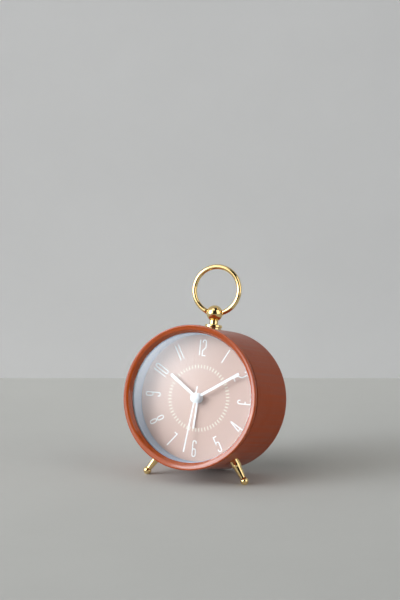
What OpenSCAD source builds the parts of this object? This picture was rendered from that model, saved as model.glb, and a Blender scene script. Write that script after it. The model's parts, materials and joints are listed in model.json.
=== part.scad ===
// Table alarm clock: a painted steel drum that leans back on two turned brass legs,
// with a ring handle, a recessed back and a quartz alarm movement inside.
// Pieces are drawn in the drum's own frame: x to the right of someone facing the dial,
// y backwards along the drum with 0 at the bezel's widest circle, z up across the dial.
// The finished clock is tilted until its two feet and its rear edge stand on z = 0.

/* [Drum] */
// Outer diameter of the drum
case_d = 93.2; // [90:0.1:94]
// Length of the drum from its front edge to its rear edge
case_l = 50; // [46:0.5:56]
// Wall of the drum
case_wall = 1; // [0.8:0.1:1.2]
// Width of the drum's inturned rear lip
lip_w = 2.2; // [1.8:0.1:2.6]
// Rounding of the drum's rear edge
edge_r = 0.5; // [0.3:0.1:0.6]
// Radius of the fine bead at the drum's front edge
bead_r = 0.3; // [0.2:0.05:0.4]

/* [Bezel and lens] */
// How far the bezel stands proud of the drum's side
bezel_over = 0.9; // [0.7:0.05:1.4]
// Width of the bezel's face, from its outer edge to its opening
bezel_face = 5; // [4.6:0.1:6]
// Radius of the bezel's rounded front
bezel_roll = 1.9; // [1.6:0.1:2.2]
// Depth of the lens seat behind the bezel's widest circle
seat_y = 2.1; // [1.8:0.1:2.4]
// Length of the bezel's skirt inside the drum
skirt_l = 6.9; // [5:0.1:8]
// Thickness of the bezel's skirt
skirt_t = 0.55; // [0.45:0.05:0.6]
// Thickness of the lens
lens_t = 1.8; // [1.5:0.1:2.4]
// Thickness of the rubber gasket behind the lens
gasket_t = 0.6; // [0.4:0.1:1]

/* [Dial] */
// Length of the pale wall between the lens gasket and the dial
spacer_l = 10.5; // [9.8:0.1:13]
// How far that wall stands inside the bezel's opening
spacer_in = 0.5; // [0.3:0.1:2]
// Thickness of that wall
spacer_wall = 1.4; // [1:0.1:1.6]
// Thickness of the dial
dial_t = 0.8; // [0.6:0.1:1.2]

/* [Hands] */
// Length of the minute hand from the centre
minute_len = 34.1; // [28:0.1:36]
// Width of the minute hand
minute_w = 1.75; // [1.2:0.05:2.2]
// Length of the hour hand from the centre
hour_len = 24.6; // [20:0.1:28]
// Width of the hour hand
hour_w = 1.9; // [1.4:0.05:2.4]
// Length of the alarm hand from the centre
alarm_len = 20.3; // [16:0.1:24]
// Width of the alarm hand
alarm_w = 1.2; // [0.8:0.05:1.6]
// Length of the second hand from the centre
second_len = 36.2; // [30:0.1:38]
// Length of the second hand's tail
second_tail = 7.7; // [5:0.1:10]
// Width of the second hand
second_w = 0.9; // [0.6:0.05:1.2]
// Thickness of each hand
hand_t = 0.4; // [0.3:0.05:0.5]
// Step from one hand's plane to the next
hand_step = 1.5; // [1.4:0.05:1.6]
// Radius of the domed cap over the hands
cap_r = 3.3; // [2.8:0.1:3.8]
// Minute hand's angle past twelve
minute_angle = 57.9; // [0:0.1:360]
// Hour hand's angle past twelve
hour_angle = 304.8; // [0:0.1:360]
// Alarm hand's angle past twelve
alarm_angle = 184; // [0:0.1:360]
// Second hand's angle past twelve
second_angle = 187.5; // [0:0.1:360]

/* [Ring handle] */
// Centreline radius of the ring
ring_r = 15.6; // [13:0.1:18]
// Diameter of the ring's wire
ring_wire_d = 3.3; // [2.8:0.1:3.6]
// Diameter of the ball that carries the ring
ball_d = 10.9; // [10:0.1:12]
// Height of the ball's centre above the drum's side
ball_rise = 10.4; // [9:0.1:13]
// Diameter of the neck under the ball
neck_d = 5.8; // [5:0.1:6.4]
// Diameter of the stem's flange
flange_d = 11.6; // [10.5:0.1:13]
// Thickness of the stem's flange
flange_t = 2; // [1.5:0.1:2.4]
// Thickness of the washer under the flange
washer_t = 0.8; // [0.6:0.1:1.2]
// Distance of the handle behind the bezel's widest circle
handle_y = 27.7; // [25:0.1:32]
// Turn of the ring about its stem
ring_turn = 6; // [-20:1:20]

/* [Legs] */
// Angle of each leg from straight down
leg_angle = 34.7; // [30:0.1:40]
// Distance of the legs behind the bezel's widest circle
leg_y = 20.5; // [19:0.1:24]
// Distance of each foot's centre from the drum's side
leg_l = 15.5; // [14:0.1:19]
// Diameter of the ball foot
foot_d = 5.4; // [4.8:0.1:6]
// Diameter of the leg's collar against the drum
collar_d = 6.4; // [5.6:0.1:7.2]
// Length of the leg's collar
collar_l = 5.6; // [4.5:0.1:6.5]
// Diameter at the top of the leg's taper
leg_top_d = 4.9; // [4.4:0.1:5.4]
// Diameter at the ankle above the ball foot
ankle_d = 2.9; // [2.4:0.1:3.4]

/* [Back] */
// Thickness of the recessed back cover
cover_t = 1.6; // [1.4:0.1:1.9]
// Diameter of each setting knob
knob_d = 11; // [9:0.1:13]
// Length of each setting knob
knob_l = 7; // [5:0.1:9]
// Count of grip flutes round each setting knob
knob_flutes = 20; // [12:1:30]
// Travel of the alarm switch
switch_travel = 5; // [4:0.5:6]
// Width of the battery door
door_w = 52; // [50:0.5:53]
// Height of the battery door
door_h = 16.4; // [15.8:0.1:16.6]

/* [Movement] */
// Room for each contact beside the battery
contact_room = 3.2; // [3:0.1:4.2]
// Height of the movement's case above the hands' axis
move_up = 26; // [25.8:0.1:27]
// Depth of the movement's case
move_l = 20.8; // [20.6:0.1:21.2]
// Wall of the movement's case
move_wall = 1.2; // [1:0.05:1.3]
// Plate at the front of the movement
front_plate_t = 1.5; // [1.2:0.1:1.6]
// Thickness of each wheel of the going train
wheel_t = 0.8; // [0.6:0.05:0.85]
// Radius of the seconds arbor
second_arbor_r = 0.5; // [0.4:0.05:0.55]
// Wall of each hand tube
tube_wall = 0.45; // [0.4:0.01:0.6]
// Radial play of each bearing
play = 0.06; // [0.04:0.01:0.08]
// Diameter of the battery
battery_d = 14.2; // [13.5:0.1:14.4]
// Length of the battery without its button
battery_l = 49.2; // [48:0.1:49.6]

/* [Hidden] */
$fn = 72;
// Count of sides where a thin form follows a large curve
fine_fn = 360;

// Clearances
fit_gap = 0.15;
seat_gap = 0.05;
run_gap = 0.3;
free_gap = 0.4;
bobbin_gap = 0.2;
lift = 0.3;
// How far a joined form reaches into its neighbour, and a cut past what it cuts
sink = 0.1;
cut = 1;

// Radii and lengths of the drum, bezel and lens
case_r = case_d / 2;
bore_r = case_r - case_wall;
bezel_r = case_r + bezel_over;
aperture_r = bezel_r - bezel_face;
roll_c = bezel_r - bezel_roll;
bezel_back_y = seat_y + 0.9;
bezel_corner = 1;
case_y = bezel_back_y + 0.6;
case_end = case_y + case_l;
skirt_r = bore_r - fit_gap;
pocket_r = skirt_r - skirt_t;
lens_r = pocket_r - fit_gap;
skirt_end = seat_y + skirt_l;
roll_reach = norm([roll_c - aperture_r, seat_y]);
roll_turn = atan2(seat_y, aperture_r - roll_c) + acos(bezel_roll / roll_reach);

// Places along the drum's axis
gasket_y = seat_y + lens_t;
spacer_y = gasket_y + gasket_t;
dial_y = spacer_y + spacer_l;
dial_back = dial_y + dial_t;
web_t = 1.2;
web_end = dial_back + web_t;
inner_r = bore_r - free_gap;
bush_r = 3.3;

// The movement's case and the levels of its wheels
move_y = dial_back + free_gap;
move_end = move_y + move_l;
split_y = move_y + 7.8;
plate_y = move_y + front_plate_t;
alarm_y = plate_y + lift;
motion_t = 1;
hour_y = alarm_y + motion_t + lift;
cannon_y = hour_y + motion_t + lift;
middle_y = cannon_y + motion_t + lift;
middle_t = 1;
centre_y = middle_y + middle_t + lift;
third_y = centre_y + wheel_t + 0.7;
second_y = third_y + wheel_t + 0.7;
inter_y = second_y + wheel_t + 0.7;
magnet_y = inter_y + wheel_t + 0.5;
magnet_t = 2.4;
bridge_y = magnet_y + magnet_t + 0.7;
bridge_t = 1.2;
rear_plate_t = 1.5;
rear_plate_y = move_end - rear_plate_t;
pinion_over = 0.2;

// Battery bay below the train
bay_top = -12.8;
bay_wall = 0.8;
bay_gap = 0.5;
battery_r = battery_d / 2;
battery_z = bay_top - bay_wall - bay_gap - battery_r;
move_down = -battery_z + battery_r + bay_gap + move_wall;
battery_y = (plate_y + rear_plate_y) / 2;
bay_half_w = battery_l / 2 + contact_room;
move_w = 2 * (bay_half_w + move_wall);

contact_plate_t = 0.5;
contact_plate_w = 10;
contact_plate_h = 11;

// Back cover
cover_lip_t = 1.5;
cover_lip_y = case_end - case_wall - cover_lip_t;
cover_y = move_end + 1;
cover_end = cover_y + cover_t;
cover_rim_r = bore_r - lip_w - 0.2;
cover_floor_r = cover_rim_r - 1.4;
knob_y = cover_end + 0.6;
knob_r = knob_d / 2;

// Tubes that carry the hands, each running on the one inside it
minute_in = second_arbor_r + play;
minute_out = minute_in + tube_wall;
hour_in = minute_out + play;
hour_out = hour_in + tube_wall + 0.2;
alarm_in = hour_out + play;
alarm_out = alarm_in + tube_wall + 0.2;
hub_r = 3.45;
hand_collar_wall = 0.6;
hand_collar_l = hand_step - 0.5;
alarm_hand_y = dial_y - hand_step + 0.1;
hour_hand_y = alarm_hand_y - hand_step;
minute_hand_y = hour_hand_y - hand_step;
second_hand_y = minute_hand_y - hand_step - 0.3;
cap_rise = 1.2;

// Tooth counts and modules; both meshes between two shafts share one distance
third_n = 75;
third_pinion_n = 10;
seconds_pinion_n = 10;
centre_n = 80;
train_module = 0.2;
third_reach = (centre_n + third_pinion_n) * train_module / 2;
third_module = 2 * third_reach / (third_n + seconds_pinion_n);
second_n = 60;
inter_pinion_n = 12;
inter_n = 60;
rotor_pinion_n = 10;
inter_reach = (second_n + inter_pinion_n) * train_module / 2;
rotor_reach = (inter_n + rotor_pinion_n) * train_module / 2;
cannon_n = 12;
minute_wheel_n = 36;
minute_pinion_n = 10;
hour_n = 40;
motion_module = 0.3;
motion_reach = (cannon_n + minute_wheel_n) * motion_module / 2;
hour_module = 2 * motion_reach / (minute_pinion_n + hour_n);
alarm_module = 0.4;
alarm_n = 54;
alarm_pinion_n = 18;
alarm_reach = (alarm_n + alarm_pinion_n) * alarm_module / 2;

// Shaft places across the movement as [x, z]
third_dir = 60;
inter_dir = 150;
rotor_dir = 120;
third_at = third_reach * [cos(third_dir), sin(third_dir)];
inter_at = inter_reach * [cos(inter_dir), sin(inter_dir)];
rotor_at = inter_at + rotor_reach * [cos(rotor_dir), sin(rotor_dir)];
minute_at = [motion_reach, 0];
time_at = [2 * motion_reach, 0];
alarm_at = [-alarm_reach, 0];
set_arbor_r = 1.2;
minute_post_r = 0.7;
inter_post_r = 0.5;
pivot_r = 0.35;
arbor_r = 0.5;
// Edges of the train's two plates, and the pillars between them
train_left = -20;
train_right = 17.3;
train_top = 13.3;
train_low = bay_top + 0.5;
pillars = [
    [train_left + 2.5, train_top - 4.3], [train_right - 1.8, train_top - 1.8],
    [12.5, train_low + 1.7], [-12.5, train_low + 1.7]
];
pillar_r = 1.5;
train_screw_r = 0.7;

// Coil and stator
magnet_r = 3;
magnet_gap = 0.5;
stator_t = 1.2;
stator_y = magnet_y + (magnet_t - stator_t) / 2;
stator_left = -15.6;
stator_right = 2.4;
stator_half_h = 4.2;
stator_arm = 2.2;
coil_z = 20;
core_h = 3;
core_t = 1.2;
core_gap = 0.05;
coil_r = 3.4;
bobbin_r = 2.1;
bobbin_wall = 0.5;
coil_y = stator_y + stator_t + core_t / 2;
coil_left = stator_left + stator_arm + bobbin_gap;
coil_l = stator_right - stator_left - 2 * (stator_arm + bobbin_gap);

// Circuit board, buzzer and alarm contact
board_t = 1;
board_y = rear_plate_y - 1.2 - board_t;
board_size = [20, 10.5];
board_edge = 2.4;
board_at = [bay_half_w - board_edge - board_size[0] / 2, 19.2];
crystal_r = 1.5;
crystal_l = 7.5;
buzzer_r = (bay_half_w - train_right - run_gap - bobbin_gap) / 2;
buzzer_at = [bay_half_w - run_gap - buzzer_r, -4];
buzzer_t = 4.2;
sound_hole_r = 0.7;
sound_ring_r = 2.8;
contact_at = [-21.5, -7.9];
contact_y = alarm_y + motion_t + 0.35;
contact_t = 0.25;
contact_l = 14.5;
contact_w = 1.4;

// Fasteners and frame posts as [x, z]
screw_r = 1.2;
screw_head_r = 2.3;
screw_head_t = 1.4;
cover_screw_l = 8;
ear_screw_l = 5.5;
post_r = 3;
post_reach = cover_floor_r - cover_t - screw_head_r - free_gap;
// Each lower post stands beside the movement
post_x = move_w / 2 + post_r + 0.5;
post_z = -sqrt(post_reach * post_reach - post_x * post_x);
cover_posts = [[0, post_reach], [-post_x, post_z], [post_x, post_z]];
ears = [[-move_w / 2 - 4, 10], [move_w / 2 + 4, 10]];
ear_t = 1.5;
ear_r = 3.2;

// Battery door and the bosses that its pins turn in
door_top = bay_top - bay_wall + 0.2;
door_t = 1.4;
hinge_r = 0.9;
hinge_pin_r = 0.5;
hinge_pin_l = 1.2;
hinge_y = cover_y + cover_t - door_t / 2;
hinge_z = door_top - door_h + hinge_r;
hinge_boss = [2.8, 3.6];
rib_size = [14, 0.5];
rib_depths = [2.2:1.2:5.8];
finger_notch = [9, 2.4];

// Alarm switch
switch_z = 19.5;
switch_foot = [10, 6.4];
switch_neck = [4.4, 3.2];
switch_thumb = [7, 5];
switch_thumb_t = 2.4;
switch_rib = 0.7;

// Knob flutes, bevel and closed end
flute_r = 0.4;
knob_bevel = 0.8;
knob_end_t = 2;

// Handle and legs
ball_r = ball_d / 2;
ball_z = case_r + ball_rise;
wire_r = ring_wire_d / 2;
ring_pin_r = 0.8;
ring_pin_l = 3.9;
ring_pin_in = 3;
handle_screw_r = 1.95;
leg_screw_r = 1.45;
leg_screw_l = 6;
collar_bevel = 1.3;
foot_r = foot_d / 2;
foot_reach = case_r + leg_l;
foot_x = foot_reach * sin(leg_angle);
foot_z = foot_reach * cos(leg_angle);
collar_end = case_r + collar_l;
// Depth of the flats that the feet and the rear edge stand on
rest_land = 0.12;

// Lean of the drum when the feet and the rear edge share the floor
lean_run = case_end - edge_r - leg_y;
lean_drop = foot_z - (case_r - edge_r);
lean = atan2(lean_drop, lean_run) + asin((foot_r - edge_r) / norm([lean_drop, lean_run]));
floor_z = foot_z * cos(lean) + leg_y * sin(lean) + foot_r - rest_land;
front_reach = roll_c * sin(lean) + bezel_roll;
back_reach = (case_end - edge_r) * cos(lean) + (case_r - edge_r) * sin(lean) + edge_r;
y_shift = (front_reach - back_reach) / 2;
echo(lean = lean, floor_z = floor_z, y_shift = y_shift);

// Stands the drum's frame on the floor
module stand() {
    translate([0, y_shift, floor_z]) rotate([-lean, 0, 0]) children();
}

// Everything below the floor plane
module below_floor() {
    translate([-case_d, -case_d, -foot_d]) cube([2 * case_d, 2 * case_d, foot_d]);
}

// Puts a round form, drawn along +z, on a shaft that runs backwards
module on_shaft(y, at = [0, 0]) {
    translate([at[0], y, at[1]]) rotate([-90, 0, 0]) children();
}

// A round bar on a shaft from y to y + l
module bar(r, y, l, at = [0, 0]) {
    on_shaft(y, at) cylinder(r = r, h = l);
}

// A plate from y to y + t, its outline drawn as [x, z] seen from the front
module plate(y, t, at = [0, 0]) {
    translate([at[0], y + t, at[1]]) rotate([90, 0, 0]) linear_extrude(t) children();
}

// Puts a form, drawn along +z, on a line that leaves the drum's axis
module radial(angle, y) {
    translate([0, y, 0]) rotate([0, angle, 0]) children();
}

module rounded(w, h, r) {
    translate([-w / 2 + r, -h / 2]) square([w - 2 * r, h]);
    translate([-w / 2, -h / 2 + r]) square([w, h - 2 * r]);
    for (x = [-1, 1], z = [-1, 1]) {
        translate([x * (w / 2 - r), z * (h / 2 - r)]) circle(r);
    }
}

// Tooth outline
press_angle = 20;
tooth_up = 0.85;
tooth_down = 1.2;
tooth_play = 0.25;
function inv_deg(a) = tan(a) * 180 / PI - a;
function base_ratio(n, r) = min(1, n / 2 * cos(press_angle) / r);
// Half the angle of a tooth at r modules from the centre
function tooth_half(n, r) =
    (PI / 2 - tooth_play) / n * 180 / PI + inv_deg(press_angle) - inv_deg(acos(base_ratio(n, r)));
// Radii along one flank, in modules; small pinions get one more for their curve
function flank(n) = n < 30
    ? [n / 2 - tooth_down, n / 2 - 0.3, n / 2 + 0.3, n / 2 + tooth_up]
    : [n / 2 - tooth_down, n / 2 + tooth_up];
function turned(r, a) = r * [cos(a), sin(a)];
function tooth(n, m, a) = concat(
    [for (r = flank(n)) turned(r * m, a - tooth_half(n, r))],
    [for (i = [len(flank(n)) - 1:-1:0]) turned(flank(n)[i] * m, a + tooth_half(n, flank(n)[i]))]
);
function gear_outline(n, m, phase) = [for (i = [0:n - 1]) each tooth(n, m, phase + 360 * i / n)];
// Phase of the gear that meshes with a gear of phase a and teeth na, found in direction dir
function mesh(a, na, dir, nb) = dir + 180 - ((a - dir) * na / 360 + 0.5) * 360 / nb;

module gear(n, m, phase) {
    polygon(gear_outline(n, m, phase));
}

// Phases of every mesh at rest
cannon_phase = 0;
minute_wheel_phase = mesh(cannon_phase, cannon_n, 0, minute_wheel_n);
time_phase = mesh(minute_wheel_phase, minute_wheel_n, 0, cannon_n);
minute_pinion_phase = 0;
hour_phase = mesh(minute_pinion_phase, minute_pinion_n, 180, hour_n);
alarm_phase = 0;
alarm_pinion_phase = mesh(alarm_phase, alarm_n, 180, alarm_pinion_n);
second_phase = 0;
inter_pinion_phase = mesh(second_phase, second_n, inter_dir, inter_pinion_n);
inter_phase = 0;
rotor_phase = mesh(inter_phase, inter_n, rotor_dir, rotor_pinion_n);
seconds_pinion_phase = 0;
third_phase = mesh(seconds_pinion_phase, seconds_pinion_n, third_dir, third_n);
third_pinion_phase = 0;
centre_phase = mesh(third_pinion_phase, third_pinion_n, third_dir + 180, centre_n);

// Drum, bezel and what they hold

module case_profile() {
    translate([bore_r, case_y]) square([case_wall, case_l - edge_r]);
    translate([bore_r - lip_w, case_end - case_wall]) square([lip_w + case_wall - edge_r, case_wall]);
    translate([case_r - edge_r, case_end - edge_r]) circle(edge_r);
    translate([case_r - bead_r / 4, case_y + bead_r]) circle(bead_r);
}

module case_drum() color("sienna") difference() {
    stand() difference() {
        on_shaft(0) rotate_extrude() case_profile();
        radial(0, handle_y) cylinder(r = handle_screw_r + fit_gap, h = case_d);
        for (a = [-leg_angle, leg_angle]) {
            radial(180 - a, leg_y) cylinder(r = leg_screw_r + fit_gap, h = case_d);
        }
    }
    below_floor();
}

module bezel_profile() {
    translate([roll_c, 0]) circle(bezel_roll);
    translate([bezel_r - bezel_corner, bezel_back_y - bezel_corner]) circle(bezel_corner);
    polygon([
        [aperture_r, seat_y], [aperture_r, seat_y - 0.2],
        [roll_c, 0] + bezel_roll * [cos(roll_turn), sin(roll_turn)],
        [roll_c, 0], [bezel_r, 0], [bezel_r, bezel_back_y - bezel_corner],
        [bezel_r - bezel_corner, bezel_back_y], [skirt_r, bezel_back_y],
        [skirt_r, skirt_end], [pocket_r, skirt_end], [pocket_r, seat_y]
    ]);
}

module front_bezel() color("chocolate") stand() on_shaft(0) rotate_extrude() bezel_profile();

module lens() color([0.85, 0.9, 0.92, 0.35]) stand() bar(lens_r, seat_y, lens_t);

module lens_gasket() color("dimgray") stand() on_shaft(gasket_y) difference() {
    cylinder(r = lens_r, h = gasket_t);
    translate([0, 0, -cut]) cylinder(r = aperture_r + 0.2, h = gasket_t + 2 * cut);
}

module dial_spacer() color("lightsteelblue") stand() on_shaft(spacer_y) difference() {
    spacer_r = aperture_r - spacer_in;
    union() {
        cylinder(r = spacer_r + spacer_wall, h = spacer_l);
        cylinder(r = lens_r, h = spacer_wall);
        translate([0, 0, spacer_l - spacer_wall]) cylinder(r = lens_r, h = spacer_wall);
    }
    translate([0, 0, -cut]) cylinder(r = spacer_r, h = spacer_l + 2 * cut);
}

module dial() color("mistyrose") stand() difference() {
    bar(lens_r, dial_y, dial_t);
    bar(bush_r + 0.1, dial_y - cut, dial_t + 2 * cut);
}

module movement_frame() color("gainsboro") stand() difference() {
    union() {
        plate(dial_back, web_t) circle(inner_r);
        for (p = cover_posts) bar(post_r, dial_back, cover_y - dial_back, p);
        for (p = ears) bar(post_r, dial_back, split_y - dial_back, p);
    }
    plate(dial_back - cut, web_t + 2 * cut, [0, (move_up - move_down) / 2])
        rounded(move_w + 2 * run_gap, move_up + move_down + 2 * run_gap, 2);
    for (p = cover_posts) bar(screw_r, cover_end - cover_screw_l - cut, cover_screw_l + 2 * cut, p);
    for (p = ears) bar(screw_r, split_y + ear_t - ear_screw_l - cut, ear_screw_l + 2 * cut, p);
}

// Recessed dish at the back, with the battery opening, shaft holes, slot and sound holes
module back_cover() color([0.16, 0.15, 0.15]) stand() difference() {
    union() {
        bar(inner_r, cover_lip_y, cover_lip_t);
        on_shaft(cover_y) cylinder(r1 = cover_floor_r, r2 = cover_rim_r, h = cover_lip_y - cover_y + 0.1);
        for (s = [-1, 1]) {
            plate(cover_y, cover_t, [s * (door_w / 2 + run_gap + hinge_boss[0] / 2), hinge_z])
                rounded(hinge_boss[0], hinge_boss[1], 0.6);
        }
    }
    on_shaft(cover_end) cylinder(
        r1 = cover_floor_r - cover_t, r2 = cover_rim_r - cover_t + 0.2, h = case_end - cover_end);
    plate(cover_y - cut, cover_t + 2 * cut, [0, door_top - door_h / 2])
        rounded(door_w + 2 * run_gap, door_h + 2 * run_gap, 0.4);
    plate(cover_y - cut, cover_t + 2 * cut, [0, door_top + finger_notch[1] / 3])
        rounded(finger_notch[0], finger_notch[1], 1);
    translate([-door_w / 2 - run_gap - hinge_pin_l, hinge_y, hinge_z]) rotate([0, 90, 0])
        cylinder(r = hinge_pin_r + play, h = door_w + 2 * run_gap + 2 * hinge_pin_l);
    for (p = [time_at, alarm_at]) bar(set_arbor_r + run_gap, cover_y - cut, cover_t + 2 * cut, p);
    for (p = cover_posts) bar(screw_r + fit_gap, cover_y - cut, cover_t + 2 * cut, p);
    plate(cover_y - cut, cover_t + 2 * cut, [0, switch_z])
        rounded(switch_neck[0] + switch_travel + 2 * run_gap, switch_neck[1] + 2 * run_gap, 0.6);
    sound_holes(cover_y - cut, cover_t + 2 * cut);
}

module sound_holes(y, l) {
    bar(sound_hole_r, y, l, buzzer_at);
    for (a = [0:60:300]) bar(sound_hole_r, y, l, buzzer_at + turned(sound_ring_r, a));
}

// A pan-head screw whose head lies on y and whose shank runs forward
module screw(y, r, l, head_r, head_t, at) {
    difference() {
        bar(head_r, y, head_t, at);
        plate(y + head_t / 2, head_t, at) cross(head_r * 1.1, head_r * 0.22);
    }
    bar(r, y - l, l + head_t / 4, at);
}

module cross(l, w) {
    square([l, w], center = true);
    square([w, l], center = true);
}

module cover_screws() color("silver") stand() {
    for (p = cover_posts) {
        screw(cover_end, screw_r - seat_gap, cover_screw_l, screw_head_r, screw_head_t, p);
    }
}

// Door over the battery, hinged on two pins at its lower corners
module battery_door() color([0.2, 0.19, 0.19]) stand() {
    plate(hinge_y - door_t / 2, door_t, [0, (door_top + hinge_z) / 2])
        square([door_w, door_top - hinge_z], center = true);
    translate([-door_w / 2, hinge_y, hinge_z]) rotate([0, 90, 0]) cylinder(r = hinge_r, h = door_w);
    translate([-door_w / 2 - hinge_pin_l, hinge_y, hinge_z]) rotate([0, 90, 0])
        cylinder(r = hinge_pin_r, h = door_w + 2 * hinge_pin_l);
    for (z = rib_depths) {
        plate(hinge_y, door_t / 2 + 0.4, [0, door_top - z]) square(rib_size, center = true);
    }
}

// Ring handle

module on_ball() {
    translate([0, handle_y, ball_z]) rotate([0, 0, ring_turn]) children();
}

module handle_stem() color("gold") stand() difference() {
    union() {
        on_ball() sphere(ball_r);
        radial(0, handle_y) translate([0, 0, case_r + washer_t + seat_gap])
            cylinder(d = neck_d, h = ball_z - case_r - washer_t - seat_gap);
        radial(0, handle_y) translate([0, 0, case_r + washer_t + seat_gap])
            cylinder(d = flange_d, h = flange_t);
    }
    on_ball() for (s = [0, 180]) rotate([0, 0, s]) rotate([0, 90, 0])
        translate([0, 0, ball_r - ring_pin_in - free_gap]) cylinder(r = ring_pin_r + play, h = ball_r);
    radial(0, handle_y) cylinder(r = handle_screw_r + seat_gap, h = case_r + washer_t + flange_t + 2.2);
}

module handle_washer() color("goldenrod") stand() difference() {
    radial(0, handle_y) cylinder(d = flange_d - 1.2, h = case_r + washer_t);
    bar(case_r + seat_gap, handle_y - flange_d, 2 * flange_d, $fn = fine_fn);
    radial(0, handle_y) cylinder(r = handle_screw_r + seat_gap, h = case_d);
}

// A screw inside the drum: its head against the wall, its shank through it and up by l
module wall_screw(r, head_r, head_t, l) {
    sag = bore_r - sqrt(bore_r * bore_r - head_r * head_r);
    head_top = bore_r - sag - seat_gap;
    difference() {
        translate([0, 0, head_top - head_t]) cylinder(r = head_r, h = head_t);
        translate([0, 0, head_top - head_t - cut]) linear_extrude(cut + head_t / 2)
            cross(head_r * 1.1, head_r * 0.22);
    }
    translate([0, 0, head_top - head_t / 4]) cylinder(r = r, h = case_r - head_top + head_t / 4 + l);
}

module handle_screw() color("silver") stand() radial(0, handle_y)
    wall_screw(handle_screw_r, 3.4, 2, washer_t + flange_t + 1.8);

// Ring of wire whose two ends turn on short pins in the ball
module handle_ring() color("gold") stand() on_ball() {
    difference() {
        translate([0, 0, ring_r]) rotate([90, 0, 0]) rotate_extrude() translate([ring_r, 0]) circle(wire_r);
        sphere(ball_r + 0.25);
    }
    for (s = [0, 180]) rotate([0, 0, s]) rotate([0, 90, 0])
        translate([0, 0, ball_r - ring_pin_in]) cylinder(r = ring_pin_r, h = ring_pin_l);
}

// Turned leg from the drum's surface to its ball foot
module leg(side) {
    difference() {
        stand() difference() {
            radial(180 - side * leg_angle, leg_y) {
                translate([0, 0, case_r - cut]) cylinder(d = collar_d, h = collar_l - collar_bevel + cut);
                translate([0, 0, collar_end - collar_bevel])
                    cylinder(d1 = collar_d, d2 = leg_top_d, h = collar_bevel);
                translate([0, 0, collar_end])
                    cylinder(d1 = leg_top_d, d2 = ankle_d, h = foot_reach - foot_r * 0.7 - collar_end);
                translate([0, 0, foot_reach]) sphere(foot_r);
                translate([0, 0, collar_end]) cylinder(d = ankle_d, h = foot_reach - collar_end);
            }
            bar(case_r + seat_gap, leg_y - collar_d, 2 * collar_d);
            radial(180 - side * leg_angle, leg_y)
                cylinder(r = leg_screw_r + seat_gap, h = case_r + leg_screw_l + free_gap);
        }
        below_floor();
    }
}

module left_leg() color("goldenrod") leg(-1);
module right_leg() color("goldenrod") leg(1);

module leg_screws() color("silver") stand() {
    for (a = [-leg_angle, leg_angle]) {
        radial(180 - a, leg_y) wall_screw(leg_screw_r, 2.7, 1.6, leg_screw_l);
    }
}

// Hands

// A straight hand with a round boss, and behind it the collar that presses it on its tube
module hand(y, angle, len, w, tail, hole_r, boss_r, collar_l) difference() {
    union() {
        translate([0, y, 0]) rotate([0, angle, 0]) plate(0, hand_t) {
            translate([-w / 2, -tail]) square([w, len + tail]);
            circle(boss_r);
        }
        bar(hole_r + hand_collar_wall, y + hand_t / 2, collar_l - hand_t / 2);
    }
    bar(hole_r, y - cut, collar_l + 2 * cut);
}

module alarm_hand() color("white") stand()
    hand(alarm_hand_y, alarm_angle, alarm_len, alarm_w, 0, alarm_out, hub_r, dial_y - alarm_hand_y - run_gap);

module hour_hand() color("white") stand()
    hand(hour_hand_y, hour_angle, hour_len, hour_w, 0, hour_out, hub_r, hand_collar_l);

module minute_hand() color("white") stand()
    hand(minute_hand_y, minute_angle, minute_len, minute_w, 0, minute_out, cap_r - 0.3, hand_collar_l);

module second_hand() color("white") stand()
    hand(second_hand_y, second_angle, second_len, second_w, second_tail, second_arbor_r, cap_r - 0.9,
        hand_collar_l);

// Domed cap in front of the second hand
module centre_cap() color("white") stand() {
    dome = (cap_r * cap_r + cap_rise * cap_rise) / (2 * cap_rise);
    intersection() {
        bar(cap_r, second_hand_y - cap_rise, cap_rise, $fn = fine_fn);
        translate([0, second_hand_y - cap_rise + dome, 0]) sphere(dome, $fn = fine_fn);
    }
}

// Movement's case and plates

module move_outline(shrink) {
    translate([0, (move_up - move_down) / 2])
        rounded(move_w - 2 * shrink, move_up + move_down - 2 * shrink, 3 - shrink);
}

module shell_wall(y, l) {
    plate(y, l) {
        difference() {
            move_outline(0);
            move_outline(move_wall);
        }
        translate([-bay_half_w - 0.2, bay_top - bay_wall]) square([2 * bay_half_w + 0.4, bay_wall]);
    }
}

module movement_front() color("whitesmoke") stand() difference() {
    union() {
        plate(move_y, front_plate_t) move_outline(0);
        shell_wall(move_y, split_y - move_y);
        bar(bush_r, dial_y, move_y - dial_y + cut / 2);
        for (p = pillars) bar(pillar_r, move_y, middle_y - move_y, p);
        bar(contact_w, move_y, contact_y - move_y, contact_at);
    }
    bar(alarm_out + play, dial_y - cut, 4 * cut);
    for (p = [time_at, alarm_at]) bar(pivot_r * 2 + play, move_y + 0.4, 2 * cut, p);
    for (p = pillars) bar(train_screw_r + seat_gap, plate_y, middle_y, p);
}

module movement_rear() color("whitesmoke") stand() difference() {
    union() {
        shell_wall(split_y, move_end - split_y);
        plate(rear_plate_y, rear_plate_t) move_outline(0);
        plate(split_y, ear_t) for (p = ears) {
            translate(p) circle(ear_r);
            translate([sign(p[0]) * (move_w / 2 + 1.8) - 2.2, p[1] - ear_r]) square([4.4, 2 * ear_r]);
        }
    }
    plate(split_y - cut, rear_plate_y - split_y + cut) difference() {
        move_outline(move_wall);
        translate([-bay_half_w, bay_top - bay_wall]) square([2 * bay_half_w, bay_wall]);
    }
    plate(rear_plate_y - cut, rear_plate_t + 2 * cut, [0, battery_z])
        rounded(2 * bay_half_w - 2, battery_d + 2 * bay_gap, 1);
    for (p = [time_at, alarm_at]) bar(set_arbor_r + play, rear_plate_y - cut, rear_plate_t + 2 * cut, p);
    for (p = ears) bar(screw_r + fit_gap, split_y - cut, ear_t + 2 * cut, p);
    sound_holes(rear_plate_y - cut, rear_plate_t + 2 * cut);
}

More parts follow.
